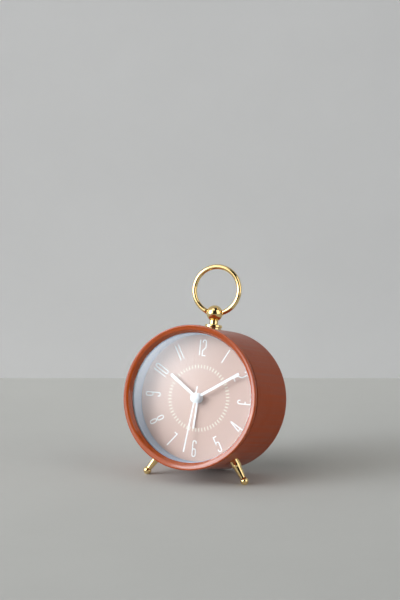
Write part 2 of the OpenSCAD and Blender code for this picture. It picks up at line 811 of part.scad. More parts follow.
module movement_screws() color("silver") stand() {
    for (p = ears) {
        screw(split_y + ear_t, screw_r - seat_gap, ear_screw_l, screw_head_r, screw_head_t, p);
    }
}

module train_outline() {
    translate([train_left, train_low]) square([train_right - train_left, train_top - train_low]);
}

module middle_plate() color("cornsilk") stand() difference() {
    union() {
        plate(middle_y, middle_t) train_outline();
        bar(minute_post_r, hour_y - 0.2, middle_y - hour_y + 0.3, minute_at);
    }
    bar(minute_out + play, middle_y - cut, middle_t + 2 * cut);
    bar(pivot_r + play, middle_y + 0.3, middle_t, third_at);
    bar(pivot_r + play, middle_y + 0.3, middle_t, rotor_at);
    for (p = [time_at, alarm_at]) bar(set_arbor_r + run_gap, middle_y - cut, middle_t + 2 * cut, p);
    for (p = pillars) bar(train_screw_r + seat_gap, middle_y - cut, middle_t + 2 * cut, p);
}

module train_bridge() color("cornsilk") stand() difference() {
    union() {
        plate(bridge_y, bridge_t) train_outline();
        for (p = pillars) {
            bar(pillar_r, middle_y + middle_t, bridge_y - middle_y - middle_t + 0.1, p);
        }
        bar(inter_post_r, second_y - pinion_over, bridge_y - second_y + pinion_over + 0.1, inter_at);
    }
    bar(pivot_r + play, bridge_y - cut, cut + bridge_t - 0.3);
    for (p = [third_at, rotor_at]) bar(pivot_r + play, bridge_y - cut, cut + bridge_t - 0.3, p);
    for (p = [time_at, alarm_at]) bar(set_arbor_r + run_gap, bridge_y - cut, bridge_t + 2 * cut, p);
    for (p = pillars) {
        bar(train_screw_r + seat_gap, middle_y, bridge_y + bridge_t - middle_y + cut, p);
    }
}

module train_screws() color("silver") stand() {
    for (p = pillars) {
        screw(bridge_y + bridge_t, train_screw_r, bridge_y + bridge_t - plate_y - 1.5, 1.4, 0.8, p);
    }
}

// Wheels

module alarm_wheel() color("khaki") stand() difference() {
    union() {
        plate(alarm_y, motion_t) gear(alarm_n, alarm_module, alarm_phase);
        bar(alarm_out, alarm_hand_y, alarm_y - alarm_hand_y + 0.1);
    }
    bar(alarm_in, alarm_hand_y - cut, alarm_y + motion_t - alarm_hand_y + 2 * cut);
}

module hour_wheel() color("ivory") stand() difference() {
    union() {
        plate(hour_y, motion_t) gear(hour_n, hour_module, hour_phase);
        bar(hour_out, hour_hand_y, hour_y - hour_hand_y + 0.1);
    }
    bar(hour_in, hour_hand_y - cut, hour_y + motion_t - hour_hand_y + 2 * cut);
}

module minute_arbor() color("silver") stand() difference() {
    union() {
        plate(cannon_y, motion_t) gear(cannon_n, motion_module, cannon_phase);
        bar(minute_out, minute_hand_y, centre_y + wheel_t + 0.4 - minute_hand_y);
    }
    bar(minute_in, minute_hand_y - cut, case_l);
}

module minute_wheel() color("ivory") stand() difference() {
    union() {
        plate(cannon_y, motion_t, minute_at) gear(minute_wheel_n, motion_module, minute_wheel_phase);
        plate(hour_y, cannon_y - hour_y + sink, minute_at)
            gear(minute_pinion_n, hour_module, minute_pinion_phase);
    }
    bar(minute_post_r + play, hour_y - cut, middle_y - hour_y + 2 * cut, minute_at);
}

module centre_wheel() color("khaki") stand() difference() {
    plate(centre_y, wheel_t) gear(centre_n, train_module, centre_phase);
    bar(minute_out + play / 2, centre_y - cut, wheel_t + 2 * cut);
}

// Thin ring that presses the centre wheel on the minute tube and lets it slip
module clutch_spring() color("silver") stand() on_shaft(centre_y + wheel_t) difference() {
    cylinder(r = minute_out + 0.7, h = 0.25);
    translate([0, 0, -cut]) cylinder(r = minute_out, h = 0.25 + 2 * cut);
}

// Arbor between the middle plate and the bridge, with a pivot in each
module arbor(at) {
    bar(arbor_r, middle_y + middle_t + 0.15, bridge_y - middle_y - middle_t - 0.3, at);
    bar(pivot_r, middle_y + 0.4, bridge_y + bridge_t - 0.8 - middle_y, at);
}

module third_wheel() color("khaki") stand() {
    plate(third_y, wheel_t, third_at) gear(third_n, third_module, third_phase);
    plate(centre_y - pinion_over, third_y - centre_y + pinion_over + 0.1, third_at)
        gear(third_pinion_n, train_module, third_pinion_phase);
    arbor(third_at);
}

// Turns on a fixed post, because the centre wheel passes in front of it
module intermediate_wheel() color("ivory") stand() difference() {
    union() {
        plate(inter_y, wheel_t, inter_at) gear(inter_n, train_module, inter_phase);
        plate(second_y - pinion_over, inter_y - second_y + pinion_over + 0.1, inter_at)
            gear(inter_pinion_n, train_module, inter_pinion_phase);
    }
    bar(inter_post_r + play, second_y - cut, inter_y + wheel_t - second_y + 2 * cut, inter_at);
}

module second_wheel() color("khaki") stand() {
    plate(second_y, wheel_t) gear(second_n, train_module, second_phase);
    plate(third_y - pinion_over, second_y - third_y + pinion_over + 0.1)
        gear(seconds_pinion_n, third_module, seconds_pinion_phase);
    bar(second_arbor_r, second_hand_y, bridge_y - 0.15 - second_hand_y);
    bar(pivot_r, second_y, bridge_y + bridge_t - 0.4 - second_y);
}

module rotor() color("darkslategray") stand() {
    bar(magnet_r, magnet_y, magnet_t, rotor_at);
    plate(inter_y - pinion_over, magnet_y - inter_y + pinion_over + 0.1, rotor_at)
        gear(rotor_pinion_n, train_module, rotor_phase);
    arbor(rotor_at);
}

// Motor

module stator() color("slategray") stand() plate(stator_y, stator_t) difference() {
    union() {
        translate([stator_left, rotor_at[1] - stator_half_h])
            square([stator_right - stator_left, 2 * stator_half_h]);
        for (x = [stator_left, stator_right - stator_arm]) {
            translate([x, rotor_at[1]]) square([stator_arm, coil_z + core_h / 2 - rotor_at[1]]);
        }
    }
    translate(rotor_at) circle(magnet_r + magnet_gap);
}

module coil_core() color("slategray") stand()
    plate(stator_y + stator_t, core_t) translate([stator_left, coil_z - core_h / 2])
        square([stator_right - stator_left, core_h]);

module along_coil(x) {
    translate([x, coil_y, coil_z]) rotate([0, 90, 0]) children();
}

module coil_bobbin() color("beige") stand() difference() {
    union() {
        for (x = [coil_left, coil_left + coil_l - bobbin_wall]) {
            along_coil(x) cylinder(r = coil_r, h = bobbin_wall);
        }
        along_coil(coil_left) cylinder(r = bobbin_r, h = coil_l);
    }
    along_coil(coil_left - cut) translate([-core_h / 2 - core_gap, -core_t / 2 - core_gap, 0])
        cube([core_h + 2 * core_gap, core_t + 2 * core_gap, coil_l + 2 * cut]);
}

module coil_winding() color("sandybrown") stand() difference() {
    along_coil(coil_left + bobbin_wall + seat_gap)
        cylinder(r = coil_r - 0.3, h = coil_l - 2 * (bobbin_wall + seat_gap));
    along_coil(coil_left) cylinder(r = bobbin_r + seat_gap, h = coil_l);
}

// Circuit

// Board on two studs, with the blob that covers its chip
module circuit_board() color("darkgreen") stand() {
    stud = [board_size[0] / 2 - 2.6, board_size[1] / 2 - 2.4];
    plate(board_y, board_t, board_at) square(board_size, center = true);
    for (s = [-1, 1]) {
        bar(1, board_y + board_t, rear_plate_y - board_y - board_t, board_at + s * [stud[0], -stud[1]]);
    }
    bar(2, board_y - 0.9, 0.9, board_at - [4.4, 1.2]);
}

module quartz_crystal() color("silver") stand()
    translate([board_at[0], board_y - crystal_r - seat_gap, board_at[1] + 1.3])
        rotate([0, 90, 0]) cylinder(r = crystal_r, h = crystal_l);

module buzzer() color([0.15, 0.15, 0.16]) stand() {
    bar(buzzer_r, rear_plate_y - buzzer_t, buzzer_t, buzzer_at);
}

// Leaf that the alarm wheel's lift closes
module alarm_contact() color("goldenrod") stand() plate(contact_y, contact_t, contact_at) {
    circle(contact_w);
    translate([0, -contact_w / 2]) square([contact_l, contact_w]);
}

// Battery and its contacts

module battery() color("lightslategray") stand() translate([-battery_l / 2 - 0.5, battery_y, battery_z])
    rotate([0, 90, 0]) {
        cylinder(r = battery_r, h = battery_l);
        cylinder(r = 2.7, h = battery_l + 1.2);
    }

module contact_plate(side) {
    translate([side * (bay_half_w - 0.35), battery_y, battery_z])
        cube([contact_plate_t, contact_plate_w, contact_plate_h], center = true);
}

module positive_contact() color("silver") stand() {
    contact_plate(1);
    translate([battery_l / 2 + 0.7, battery_y, battery_z]) rotate([0, 90, 0])
        cylinder(r = 3, h = contact_room - 0.6 - 0.7 + sink);
}

module negative_contact() color("silver") stand() {
    contact_plate(-1);
    translate([-bay_half_w + 0.5, battery_y, battery_z]) rotate([0, 90, 0])
        cylinder(r1 = 4.6, r2 = 2.6, h = contact_room - 0.6 - 0.5 + sink);
}

// Setting shafts, knobs and switch

module set_arbor(at, y, t, n, m, phase) {
    plate(y, t, at) gear(n, m, phase);
    bar(pivot_r * 2, move_y + 0.5, plate_y - move_y, at);
    bar(set_arbor_r, plate_y + sink, knob_y + knob_l - knob_end_t - 2 * sink - plate_y, at);
}

module time_set_arbor() color("silver") stand()
    set_arbor(time_at, cannon_y, motion_t, cannon_n, motion_module, time_phase);

module alarm_set_arbor() color("silver") stand()
    set_arbor(alarm_at, alarm_y, motion_t, alarm_pinion_n, alarm_module, alarm_pinion_phase);

module knob(at) {
    difference() {
        on_shaft(knob_y, at) {
            cylinder(r = knob_r, h = knob_l - knob_bevel);
            translate([0, 0, knob_l - knob_bevel])
                cylinder(r1 = knob_r, r2 = knob_r - knob_bevel, h = knob_bevel);
        }
        for (i = [1:knob_flutes]) {
            bar(flute_r, knob_y + 1.5, knob_l, at + turned(knob_r + 0.1, i * 360 / knob_flutes));
        }
        bar(set_arbor_r, knob_y - cut, knob_l - knob_end_t + cut, at);
    }
}

module time_set_knob() color([0.13, 0.12, 0.12]) stand() knob(time_at);
module alarm_set_knob() color([0.13, 0.12, 0.12]) stand() knob(alarm_at);

// Slider with a foot that is kept between the movement and the cover
module alarm_switch() color("ivory") stand() {
    at = [-switch_travel / 2, switch_z];
    thumb_y = cover_end + run_gap;
    plate(move_end + fit_gap, cover_y - move_end - 2 * fit_gap, at) square(switch_foot, center = true);
    plate(cover_y - fit_gap - sink, cover_t + run_gap + fit_gap + 2 * sink, at)
        square(switch_neck, center = true);
    plate(thumb_y, switch_thumb_t, at) square(switch_thumb, center = true);
    for (x = [-1, 0, 1] * switch_thumb[0] / 4) {
        plate(thumb_y + switch_thumb_t - sink, 0.5, at + [x, 0])
            square([switch_rib, switch_thumb[1]], center = true);
    }
}

case_drum();
front_bezel();
lens();
lens_gasket();
dial_spacer();
dial();
movement_frame();
back_cover();
cover_screws();
battery_door();
handle_stem();
handle_washer();
handle_screw();
handle_ring();
left_leg();
right_leg();
leg_screws();
alarm_hand();
hour_hand();
minute_hand();
second_hand();
centre_cap();
movement_front();
movement_rear();
movement_screws();
middle_plate();
train_bridge();
train_screws();
alarm_wheel();
hour_wheel();
minute_arbor();
minute_wheel();
centre_wheel();
clutch_spring();
third_wheel();
second_wheel();
intermediate_wheel();
rotor();
stator();
coil_core();
coil_bobbin();
coil_winding();
circuit_board();
quartz_crystal();
buzzer();
alarm_contact();
battery();
positive_contact();
negative_contact();
time_set_arbor();
time_set_knob();
alarm_set_arbor();
alarm_set_knob();
alarm_switch();
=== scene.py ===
# %% [markdown]
# # Finishing a table alarm clock
# The clock arrives fully built: every piece has its true size and place, and the joints that
# its hands, knobs, door and ring turn on. What it lacks is a finish. This lesson gives it one:
# satin rust paint, polished brass, clear glass, a printed dial and moulded plastic at the back.

# %% Load the built clock
import json
from math import asin, atan2, cos, degrees, pi, radians, sin, sqrt, tan

import bmesh
import bpy
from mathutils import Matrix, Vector

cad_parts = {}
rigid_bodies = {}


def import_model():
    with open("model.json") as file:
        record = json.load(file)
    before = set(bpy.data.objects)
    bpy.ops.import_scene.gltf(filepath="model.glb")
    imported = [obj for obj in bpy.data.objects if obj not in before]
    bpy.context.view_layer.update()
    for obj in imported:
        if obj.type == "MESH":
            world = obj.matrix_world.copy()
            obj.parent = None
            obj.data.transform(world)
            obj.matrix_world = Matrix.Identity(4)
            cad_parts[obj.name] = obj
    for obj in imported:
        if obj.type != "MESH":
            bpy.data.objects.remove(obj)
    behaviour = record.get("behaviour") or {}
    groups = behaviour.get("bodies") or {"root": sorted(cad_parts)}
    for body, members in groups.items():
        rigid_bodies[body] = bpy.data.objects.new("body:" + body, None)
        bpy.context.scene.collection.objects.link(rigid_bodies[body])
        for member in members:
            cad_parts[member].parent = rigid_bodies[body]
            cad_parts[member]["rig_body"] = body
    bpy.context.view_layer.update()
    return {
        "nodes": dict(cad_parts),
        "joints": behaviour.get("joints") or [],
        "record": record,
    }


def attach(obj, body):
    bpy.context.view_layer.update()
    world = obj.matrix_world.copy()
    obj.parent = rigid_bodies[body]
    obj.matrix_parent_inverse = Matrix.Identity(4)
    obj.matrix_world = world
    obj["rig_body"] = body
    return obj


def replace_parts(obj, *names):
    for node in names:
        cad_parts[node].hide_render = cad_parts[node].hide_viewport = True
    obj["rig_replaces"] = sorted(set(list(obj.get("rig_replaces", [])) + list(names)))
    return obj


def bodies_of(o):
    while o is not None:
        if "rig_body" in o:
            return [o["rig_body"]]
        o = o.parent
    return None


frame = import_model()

# %% [markdown]
# The drum leans back, so the world's axes don't suit it. The joint that carries the minute hand
# lies on the drum's axis and points backwards, so it gives the drum's own directions. From then
# on a place is given as across, depth and height in the drum, and one function turns it into
# the world. Depth 0 is the bezel's widest circle.

# %% Find the drum's own directions
MM = 0.001
joints = {joint["name"]: joint for joint in frame["joints"]}
BACK = Vector(joints["minute_turn"]["axis"]).normalized()
RIGHT = Vector((1, 0, 0))
UP = RIGHT.cross(BACK)
LEAN = asin(-BACK.z)
BEZEL_ROLL = 1.9 * MM
AXIS_POINT = Vector(joints["minute_turn"]["pos_m"])


def depths(node, start):
    """Front and rear depth of a node along the drum's axis, from a start point on it."""
    along = [(v.co - start).dot(BACK) for v in frame["nodes"][node].data.vertices]
    return min(along), max(along)


ORIGIN = AXIS_POINT + BACK * (depths("front_bezel", AXIS_POINT)[0] + BEZEL_ROLL)


def place(across, depth, height):
    """World place of a point that is given in the drum's own directions."""
    return ORIGIN + RIGHT * across + BACK * depth + UP * height


for node in ("front_bezel", "case_drum", "dial", "lens", "back_cover"):
    print(node, "front and rear in mm:", [round(v / MM, 2) for v in depths(node, ORIGIN)])
print("lean in degrees:", round(degrees(LEAN), 2))

# %% [markdown]
# The picture is taken from a little to the right and above, with a long lens, so the clock
# shows its face and a slice of its side. The camera is placed from the dial's centre: back
# along its own line of sight, then moved sideways so that the clock stands low in the frame.

# %% Set the camera
VIEW_TURN = radians(24.907)
VIEW_RISE = radians(8.905)
VIEW_FAR = 1301.75 * MM
VIEW_RIGHT, VIEW_UP = 6.80 * MM, 63.51 * MM


def towards(turn, rise):
    """Direction from the clock at an angle round it and above it."""
    return Vector((sin(turn) * cos(rise), -cos(turn) * cos(rise), sin(rise)))


def linked(name, data):
    """New object in the scene."""
    thing = bpy.data.objects.new(name, data)
    bpy.context.scene.collection.objects.link(thing)
    return thing


to_camera = towards(VIEW_TURN, VIEW_RISE)
camera_right = Vector((cos(VIEW_TURN), sin(VIEW_TURN), 0))
camera_up = to_camera.cross(camera_right)

camera = linked("camera", bpy.data.cameras.new("camera"))
camera.data.lens = 119.8
camera.data.sensor_width = 36
camera.data.clip_start, camera.data.clip_end = 0.05, 20
camera.location = ORIGIN + to_camera * VIEW_FAR + camera_right * VIEW_RIGHT + camera_up * VIEW_UP
camera.rotation_euler = to_camera.to_track_quat("Z", "Y").to_euler()
bpy.context.scene.camera = camera
print("camera stands", round(camera.location.length, 2), "m from the clock")

# %% [markdown]
# Most finishes share a few effects: a fine grain, a slow drift of colour, faint streaks, worn
# edges and the dust of handling. Each effect is a node group with named inputs, made once. A
# small writer keeps the node building readable: it adds a node, sets its sockets and returns
# it, and a value that is itself a socket becomes a link.

# %% A writer for shader nodes
def srgb(red, green, blue):
    """Linear colour from the 0 to 255 numbers that a colour picker shows."""
    def linear(value):
        value /= 255
        return value / 12.92 if value <= 0.04045 else ((value + 0.055) / 1.055) ** 2.4
    return (linear(red), linear(green), linear(blue), 1)


class Writer:
    """Adds nodes to a material's or a group's tree."""

    def __init__(self, tree):
        self.tree = tree

    def add(self, kind, inputs=None, **settings):
        node = self.tree.nodes.new(kind)
        for name, value in settings.items():
            setattr(node, name, value)
        for key, value in (inputs or {}).items():
            if isinstance(value, bpy.types.NodeSocket):
                self.tree.links.new(value, node.inputs[key])
            else:
                node.inputs[key].default_value = value
        return node

    def math(self, operation, *values):
        inputs = dict(enumerate(values))
        return self.add("ShaderNodeMath", inputs, operation=operation).outputs[0]

    def mix(self, factor, first, second):
        """Mix of two colours."""
        inputs = {0: factor, 6: first, 7: second}
        return self.add("ShaderNodeMix", inputs, data_type="RGBA").outputs[2]

    def noise(self, place, size, **settings):
        """Noise with a grain of size mm."""
        inputs = {"Vector": place, "Scale": self.math("DIVIDE", 1 / MM, size), **settings}
        return self.add("ShaderNodeTexNoise", inputs).outputs[0]

    def span(self, value, low, high, new_low=0.0, new_high=1.0):
        """Stretch of a value from one span to another, kept inside it."""
        node = self.add("ShaderNodeMapRange", {0: value, 1: low, 2: high, 3: new_low, 4: new_high})
        return node.outputs[0]


RUST = (146, 59, 12)
print("rust brown as Blender wants it:", [round(v, 3) for v in srgb(*RUST)[:3]])

# %% [markdown]
# A group that starts with its inputs and outputs reads like a small machine with knobs on it.
# The helper below makes an empty one, for shaders or for Geometry Nodes. The next cells fill in
# one group for each effect.

# %% An empty group with named knobs
SOCKETS = {"value": "NodeSocketFloat", "vector": "NodeSocketVector", "count": "NodeSocketInt",
           "geometry": "NodeSocketGeometry", "material": "NodeSocketMaterial"}


def new_group(name, inputs, outputs, tree="ShaderNodeTree"):
    """New node group, its writer, its input sockets and its output node."""
    group = bpy.data.node_groups.new(name, tree)
    for label, kind, *start in inputs:
        socket = group.interface.new_socket(label, in_out="INPUT", socket_type=SOCKETS[kind])
        for value in start:
            socket.default_value = value
    for label, kind in outputs:
        group.interface.new_socket(label, in_out="OUTPUT", socket_type=SOCKETS[kind])
    write = Writer(group)
    return group, write, write.add("NodeGroupInput").outputs, write.add("NodeGroupOutput")


def close_group(write, out, **results):
    for label, socket in results.items():
        write.tree.links.new(socket, out.inputs[label.capitalize()])
    print(write.tree.name, "has", len(write.tree.nodes), "nodes")


# %% [markdown]
# **Grain** is the fine unevenness of paint or moulded plastic: two noises, one at the grain's
# own size and one a few times coarser. It gives a height for the bump and a mask that moves
# the colour a little.

# %% Grain
grain_group, write, given, out = new_group(
    "surface grain", [("Place", "vector"), ("Size", "value", 0.4), ("Coarse", "value", 4.0)],
    [("Height", "value"), ("Mask", "value")])
fine = write.noise(given["Place"], given["Size"], Detail=3.0, Roughness=0.6)
coarse = write.noise(given["Place"], write.math("MULTIPLY", given["Size"], given["Coarse"]),
                     Detail=2.0, Roughness=0.5)
height = write.math("ADD", write.math("MULTIPLY", fine, 0.7), write.math("MULTIPLY", coarse, 0.3))
close_group(write, out, height=height, mask=write.span(coarse, 0.3, 0.7))

# %% [markdown]
# **Handling** is what months on a bedside table leave: broad faint smears where fingers have
# been, and small specks of dust. The smears dull the gloss; the specks lighten the colour.

# %% Handling marks
handling_group, write, given, out = new_group(
    "handling marks", [("Place", "vector"), ("Smear size", "value", 18.0),
                       ("Dust size", "value", 1.2)],
    [("Smear", "value"), ("Dust", "value")])
warp = write.noise(given["Place"], given["Smear size"], Detail=4.0, Roughness=0.55, Distortion=0.8)
specks = write.noise(given["Place"], given["Dust size"], Detail=1.0)
close_group(write, out, smear=write.span(warp, 0.45, 0.72), dust=write.span(specks, 0.70, 0.78))

# %% [markdown]
# **Edge wear** needs to know where an edge is. The angle between the true normal and one that
# is softened over a small distance shows it: on a flat face the two agree, near an edge they
# part. A noise breaks the mask up, because real wear comes in nicks.

# %% Edge wear
BEVEL_SAMPLES = 4
wear_group, write, given, out = new_group(
    "edge wear", [("Place", "vector"), ("Width", "value", 0.25), ("Nicks", "value", 0.9)],
    [("Wear", "value")])
soft = write.add("ShaderNodeBevel", {"Radius": write.math("MULTIPLY", given["Width"], MM)},
                 samples=BEVEL_SAMPLES)
plain = write.add("ShaderNodeNewGeometry")
agree = write.add("ShaderNodeVectorMath", {0: soft.outputs[0], 1: plain.outputs["Normal"]},
                  operation="DOT_PRODUCT").outputs["Value"]
edge = write.span(agree, 0.99, 0.90)
broken = write.span(write.noise(given["Place"], given["Nicks"], Detail=3.0), 0.42, 0.62)
close_group(write, out, wear=write.math("MULTIPLY", edge, broken))

# %% [markdown]
# **Streaks** are the fine lines that rolling, turning or polishing leaves. They could be a
# wave pattern, but real lines are uneven, so they are a noise that is squeezed across the line
# and stretched along it. Three factors, one for each direction in the drum, say how much.

# %% Streaks
streak_group, write, given, out = new_group(
    "fine streaks", [("Place", "vector"), ("Along", "vector"), ("Size", "value", 1.0)],
    [("Streak", "value")])
stretched = write.add("ShaderNodeVectorMath", {0: given["Place"], 1: given["Along"]},
                      operation="MULTIPLY").outputs[0]
lines = write.noise(stretched, given["Size"], Detail=4.0, Roughness=0.65)
close_group(write, out, streak=write.span(lines, 0.3, 0.7))

# %% [markdown]
# One function turns those effects into a finish. Every finish starts from the drum's own
# coordinates, so streaks run along the drum and the grain keeps its true size. The colour
# drifts a little with the coarse grain, dust lightens it, and smears dull the gloss. A bevel
# in the normal catches the light on edges that a mould or a press never leaves sharp.

# %% Build a finish from the effects
DUST_GREY = (196, 190, 184)
STREAK_TONE, STREAK_DULLING, WEAR_COVER, BUMP_STRENGTH = 1.5, 0.3, 0.6, 0.6


def use(write, group, **inputs):
    """Outputs of one effect, placed in a material."""
    named = {label.replace("_", " ").capitalize(): value for label, value in inputs.items()}
    return write.add("ShaderNodeGroup", named, node_tree=group).outputs


def tone(colour, factor):
    return tuple(min(1, channel * factor) for channel in colour[:3]) + (1,)


def new_material(name):
    """Empty material, its writer and its object coordinates."""
    material = bpy.data.materials.new(name)
    material.use_nodes = True
    write = Writer(material.node_tree)
    write.tree.nodes.clear()
    return material, write, write.add("ShaderNodeTexCoord").outputs["Object"]


def finish(name, colour, rough, constants=None, grain=0.35, bump=0.012, drift=0.05, smear=0.08,
           dust=0.1, streak=None, wear=None, edge=0.12):
    """New material. streak is (factors, strength) and wear is (colour, width in mm)."""
    material, write, own = new_material(name)
    colour = srgb(*colour)
    drum = write.add("ShaderNodeMapping",
                     {"Vector": own, "Location": ORIGIN, "Rotation": (-LEAN, 0, 0)},
                     vector_type="TEXTURE").outputs[0]
    grit = use(write, grain_group, place=drum, size=grain)
    hands_on = use(write, handling_group, place=drum)
    shade = write.mix(grit["Mask"], tone(colour, 1 - drift), tone(colour, 1 + drift))
    gloss = write.math("MULTIPLY_ADD", hands_on["Smear"], smear, rough)
    if streak:
        factors, strength = streak
        line = use(write, streak_group, place=drum, along=factors)["Streak"]
        shade = write.mix(write.math("MULTIPLY", line, strength), shade, tone(colour, STREAK_TONE))
        gloss = write.math("MULTIPLY_ADD", line, strength * STREAK_DULLING, gloss)
    if wear:
        bare, width = wear
        worn = use(write, wear_group, place=drum, width=width)["Wear"]
        shade = write.mix(write.math("MULTIPLY", worn, WEAR_COVER), shade, srgb(*bare))
    if dust:
        dusty = write.math("MULTIPLY", hands_on["Dust"], dust)
        shade = write.mix(dusty, shade, srgb(*DUST_GREY))
    normal = write.add("ShaderNodeBevel", {"Radius": edge * MM}, samples=BEVEL_SAMPLES).outputs[0]
    relief = write.add("ShaderNodeBump", {"Strength": BUMP_STRENGTH, "Distance": bump * MM,
                                          "Height": grit["Height"], "Normal": normal})
    inputs = {"Base Color": shade, "Roughness": gloss, "Normal": relief.outputs[0]}
    shader = write.add("ShaderNodeBsdfPrincipled", {**inputs, **(constants or {})})
    write.add("ShaderNodeOutputMaterial", {"Surface": shader.outputs[0]})
    return material


# %% [markdown]
# The painted steel is a rust brown in a satin coat. The bezel wears the same paint, but it is
# rolled and rubbed smoother, so it shines more: a clear coat over the colour gives it a sharp
# reflection, which a lower roughness alone would tint. The drum's side shows faint lines along
# its length, where the sheet ran through the rolls before it was bent.

# %% Rust paint
ALONG_DRUM = (0.7, 0.012, 0.7)
drum_paint = finish("satin rust paint", RUST, 0.42,
                    {"Specular IOR Level": 0.18, "Sheen Weight": 0.2, "Sheen Roughness": 0.35},
                    streak=(ALONG_DRUM, 0.6), wear=((186, 120, 88), 0.25))
bezel_paint = finish("glossy rust paint", (166, 69, 12), 0.3,
                     {"Specular IOR Level": 0.0, "Coat Weight": 1.0, "Coat Roughness": 0.1,
                      "Coat IOR": 1.58}, grain=0.6, bump=0.002, wear=((196, 132, 100), 0.2))
print("paint finishes:", drum_paint.name, "and", bezel_paint.name)

# %% [markdown]
# Polished brass is a metal whose colour is its reflection. It needs little else: a low
# roughness, a little drift in its tone, and bright and dark things around it to reflect. The
# dial's ink, the hands and the plastics are plain by comparison, and differ in colour, gloss
# and grain.

# %% Metals, plastics and ink
METAL = {"Metallic": 1.0}
brass = finish("polished brass", (247, 217, 154), 0.05, METAL, bump=0.0, smear=0.05, dust=0.03,
               drift=0.03, edge=0.05)
zinc = finish("zinc plate", (176, 176, 172), 0.32, METAL, grain=0.2, bump=0.004, dust=0.05)
steel = finish("bright steel", (190, 190, 188), 0.22, METAL, grain=0.2, bump=0.003, dust=0.0,
               streak=((1.0, 1.0, 0.05), 0.1), edge=0.04)
dial_paint = finish("blush dial paint", (206, 175, 164), 0.62, grain=0.5, bump=0.004,
                    drift=0.012, smear=0.02, dust=0.04, edge=0.02)
PRINTED = {"grain": 0.3, "bump": 0.003, "drift": 0.01, "dust": 0, "edge": 0.02}
ink = finish("white dial ink", (240, 239, 238), 0.5, **PRINTED)
tick_ink = finish("cream dial ink", (226, 218, 204), 0.5, **PRINTED)
white_lacquer = finish("white lacquer", (242, 244, 248), 0.3, grain=0.4, bump=0.003, drift=0.01,
                       dust=0.03, edge=0.06)
# The wall is pale plastic; this grey-blue is painted shade, the darker and cooler look it has deep
# in its recess.
pale_wall = finish("satin wall in painted shade", (168, 181, 200), 0.45, grain=0.5, bump=0.003, drift=0.015,
                   dust=0.02, edge=0.05)
rubber = finish("black rubber", (30, 29, 29), 0.8, grain=0.25, bump=0.02, dust=0.1)
black_plastic = finish("black moulded plastic", (38, 36, 36), 0.5, grain=0.45, bump=0.035,
                       drift=0.12, dust=0.16, wear=((92, 90, 89), 0.25), edge=0.25)
knob_plastic = finish("black knob plastic", (32, 30, 30), 0.36, grain=0.6, bump=0.012,
                      drift=0.1, dust=0.12, wear=((84, 82, 81), 0.2), edge=0.15)
grey_plastic = finish("grey moulded plastic", (176, 176, 174), 0.55, grain=0.4, bump=0.02,
                      drift=0.03)
case_plastic = finish("milky moulded plastic", (224, 223, 216), 0.45, grain=0.5, bump=0.015,
                      drift=0.02, edge=0.2)
print("finishes so far:", len(bpy.data.materials))

# %% [markdown]
# The lens is clear glass. Glass needs care in two ways. Its shadow must stay pale, so for
# shadow rays it turns see-through; and it must hold its plain transmission, so nothing but
# faint fingermarks touches its roughness.

# %% Clear glass
glass, write, own = new_material("clear glass")
smudge = use(write, handling_group, place=own, smear_size=22.0)["Smear"]
shader = write.add("ShaderNodeBsdfPrincipled", {
    "Base Color": (0.97, 0.985, 0.98, 1), "Roughness": write.math("MULTIPLY", smudge, 0.02),
    "Transmission Weight": 1.0, "IOR": 1.52})
clear = write.add("ShaderNodeBsdfTransparent", {"Color": (0.96, 0.98, 0.975, 1)})
shadow = write.add("ShaderNodeLightPath").outputs["Is Shadow Ray"]
blend = write.add("ShaderNodeMixShader", {0: shadow, 1: shader.outputs[0], 2: clear.outputs[0]})
write.add("ShaderNodeOutputMaterial", {"Surface": blend.outputs[0]})
print(glass.name, "has", len(glass.node_tree.nodes), "nodes")

# %% [markdown]
# Most of the clock is turned: bezel, drum, glass, stem, legs and cap are outlines swept round
# an axis. The outline is written as corners with a rounding for each, because no real edge is
# sharp, and the lathe turns it in even steps. A closed ring of corners makes a hollow form,
# and an outline that starts and ends on the axis makes a full one. The skin between rings of
# points serves the swept and the fluted pieces too.

# %% A lathe for turned pieces
ON_AXIS = 1e-4                # mm within which a point counts as on the axis
SHARE_OF_SIDE = 0.48          # of a side that one corner's rounding may take


def soften(corners, closed, steps):
    """Outline through (radius, along, rounding) corners in mm, each rounded by its own radius."""
    outline = []
    for i, (radius, along, rounding) in enumerate(corners):
        corner = Vector((radius, along))
        if rounding == 0 or (not closed and i in (0, len(corners) - 1)):
            outline.append(corner)
            continue
        to_last = Vector(corners[i - 1][:2]) - corner
        to_next = Vector(corners[(i + 1) % len(corners)][:2]) - corner
        half = to_last.angle(to_next) / 2
        cut = min(rounding / tan(half), SHARE_OF_SIDE * to_last.length,
                  SHARE_OF_SIDE * to_next.length)
        rounding = cut * tan(half)
        last, following = to_last.normalized(), to_next.normalized()
        middle = corner + (last + following).normalized() * (rounding / sin(half))
        start, end = corner + last * cut - middle, corner + following * cut - middle
        swing = pi - 2 * half
        for step in range(steps + 1):
            part = step / steps
            outline.append(middle + (start * sin((1 - part) * swing)
                                     + end * sin(part * swing)) / sin(swing))
    return outline


def arc(centre, radius, start, end, steps):
    """Corners without rounding along an arc of an outline, angles in degrees."""
    turns = [radians(start + (end - start) * i / steps) for i in range(steps + 1)]
    return [(centre[0] + radius * cos(t), centre[1] + radius * sin(t), 0) for t in turns]


def circle(mesh, middle, first, second, radius, steps):
    """Ring of vertices round a middle in the plane of two directions."""
    turns = [2 * pi * k / steps for k in range(steps)]
    return [mesh.verts.new(middle + (first * cos(t) + second * sin(t)) * radius) for t in turns]


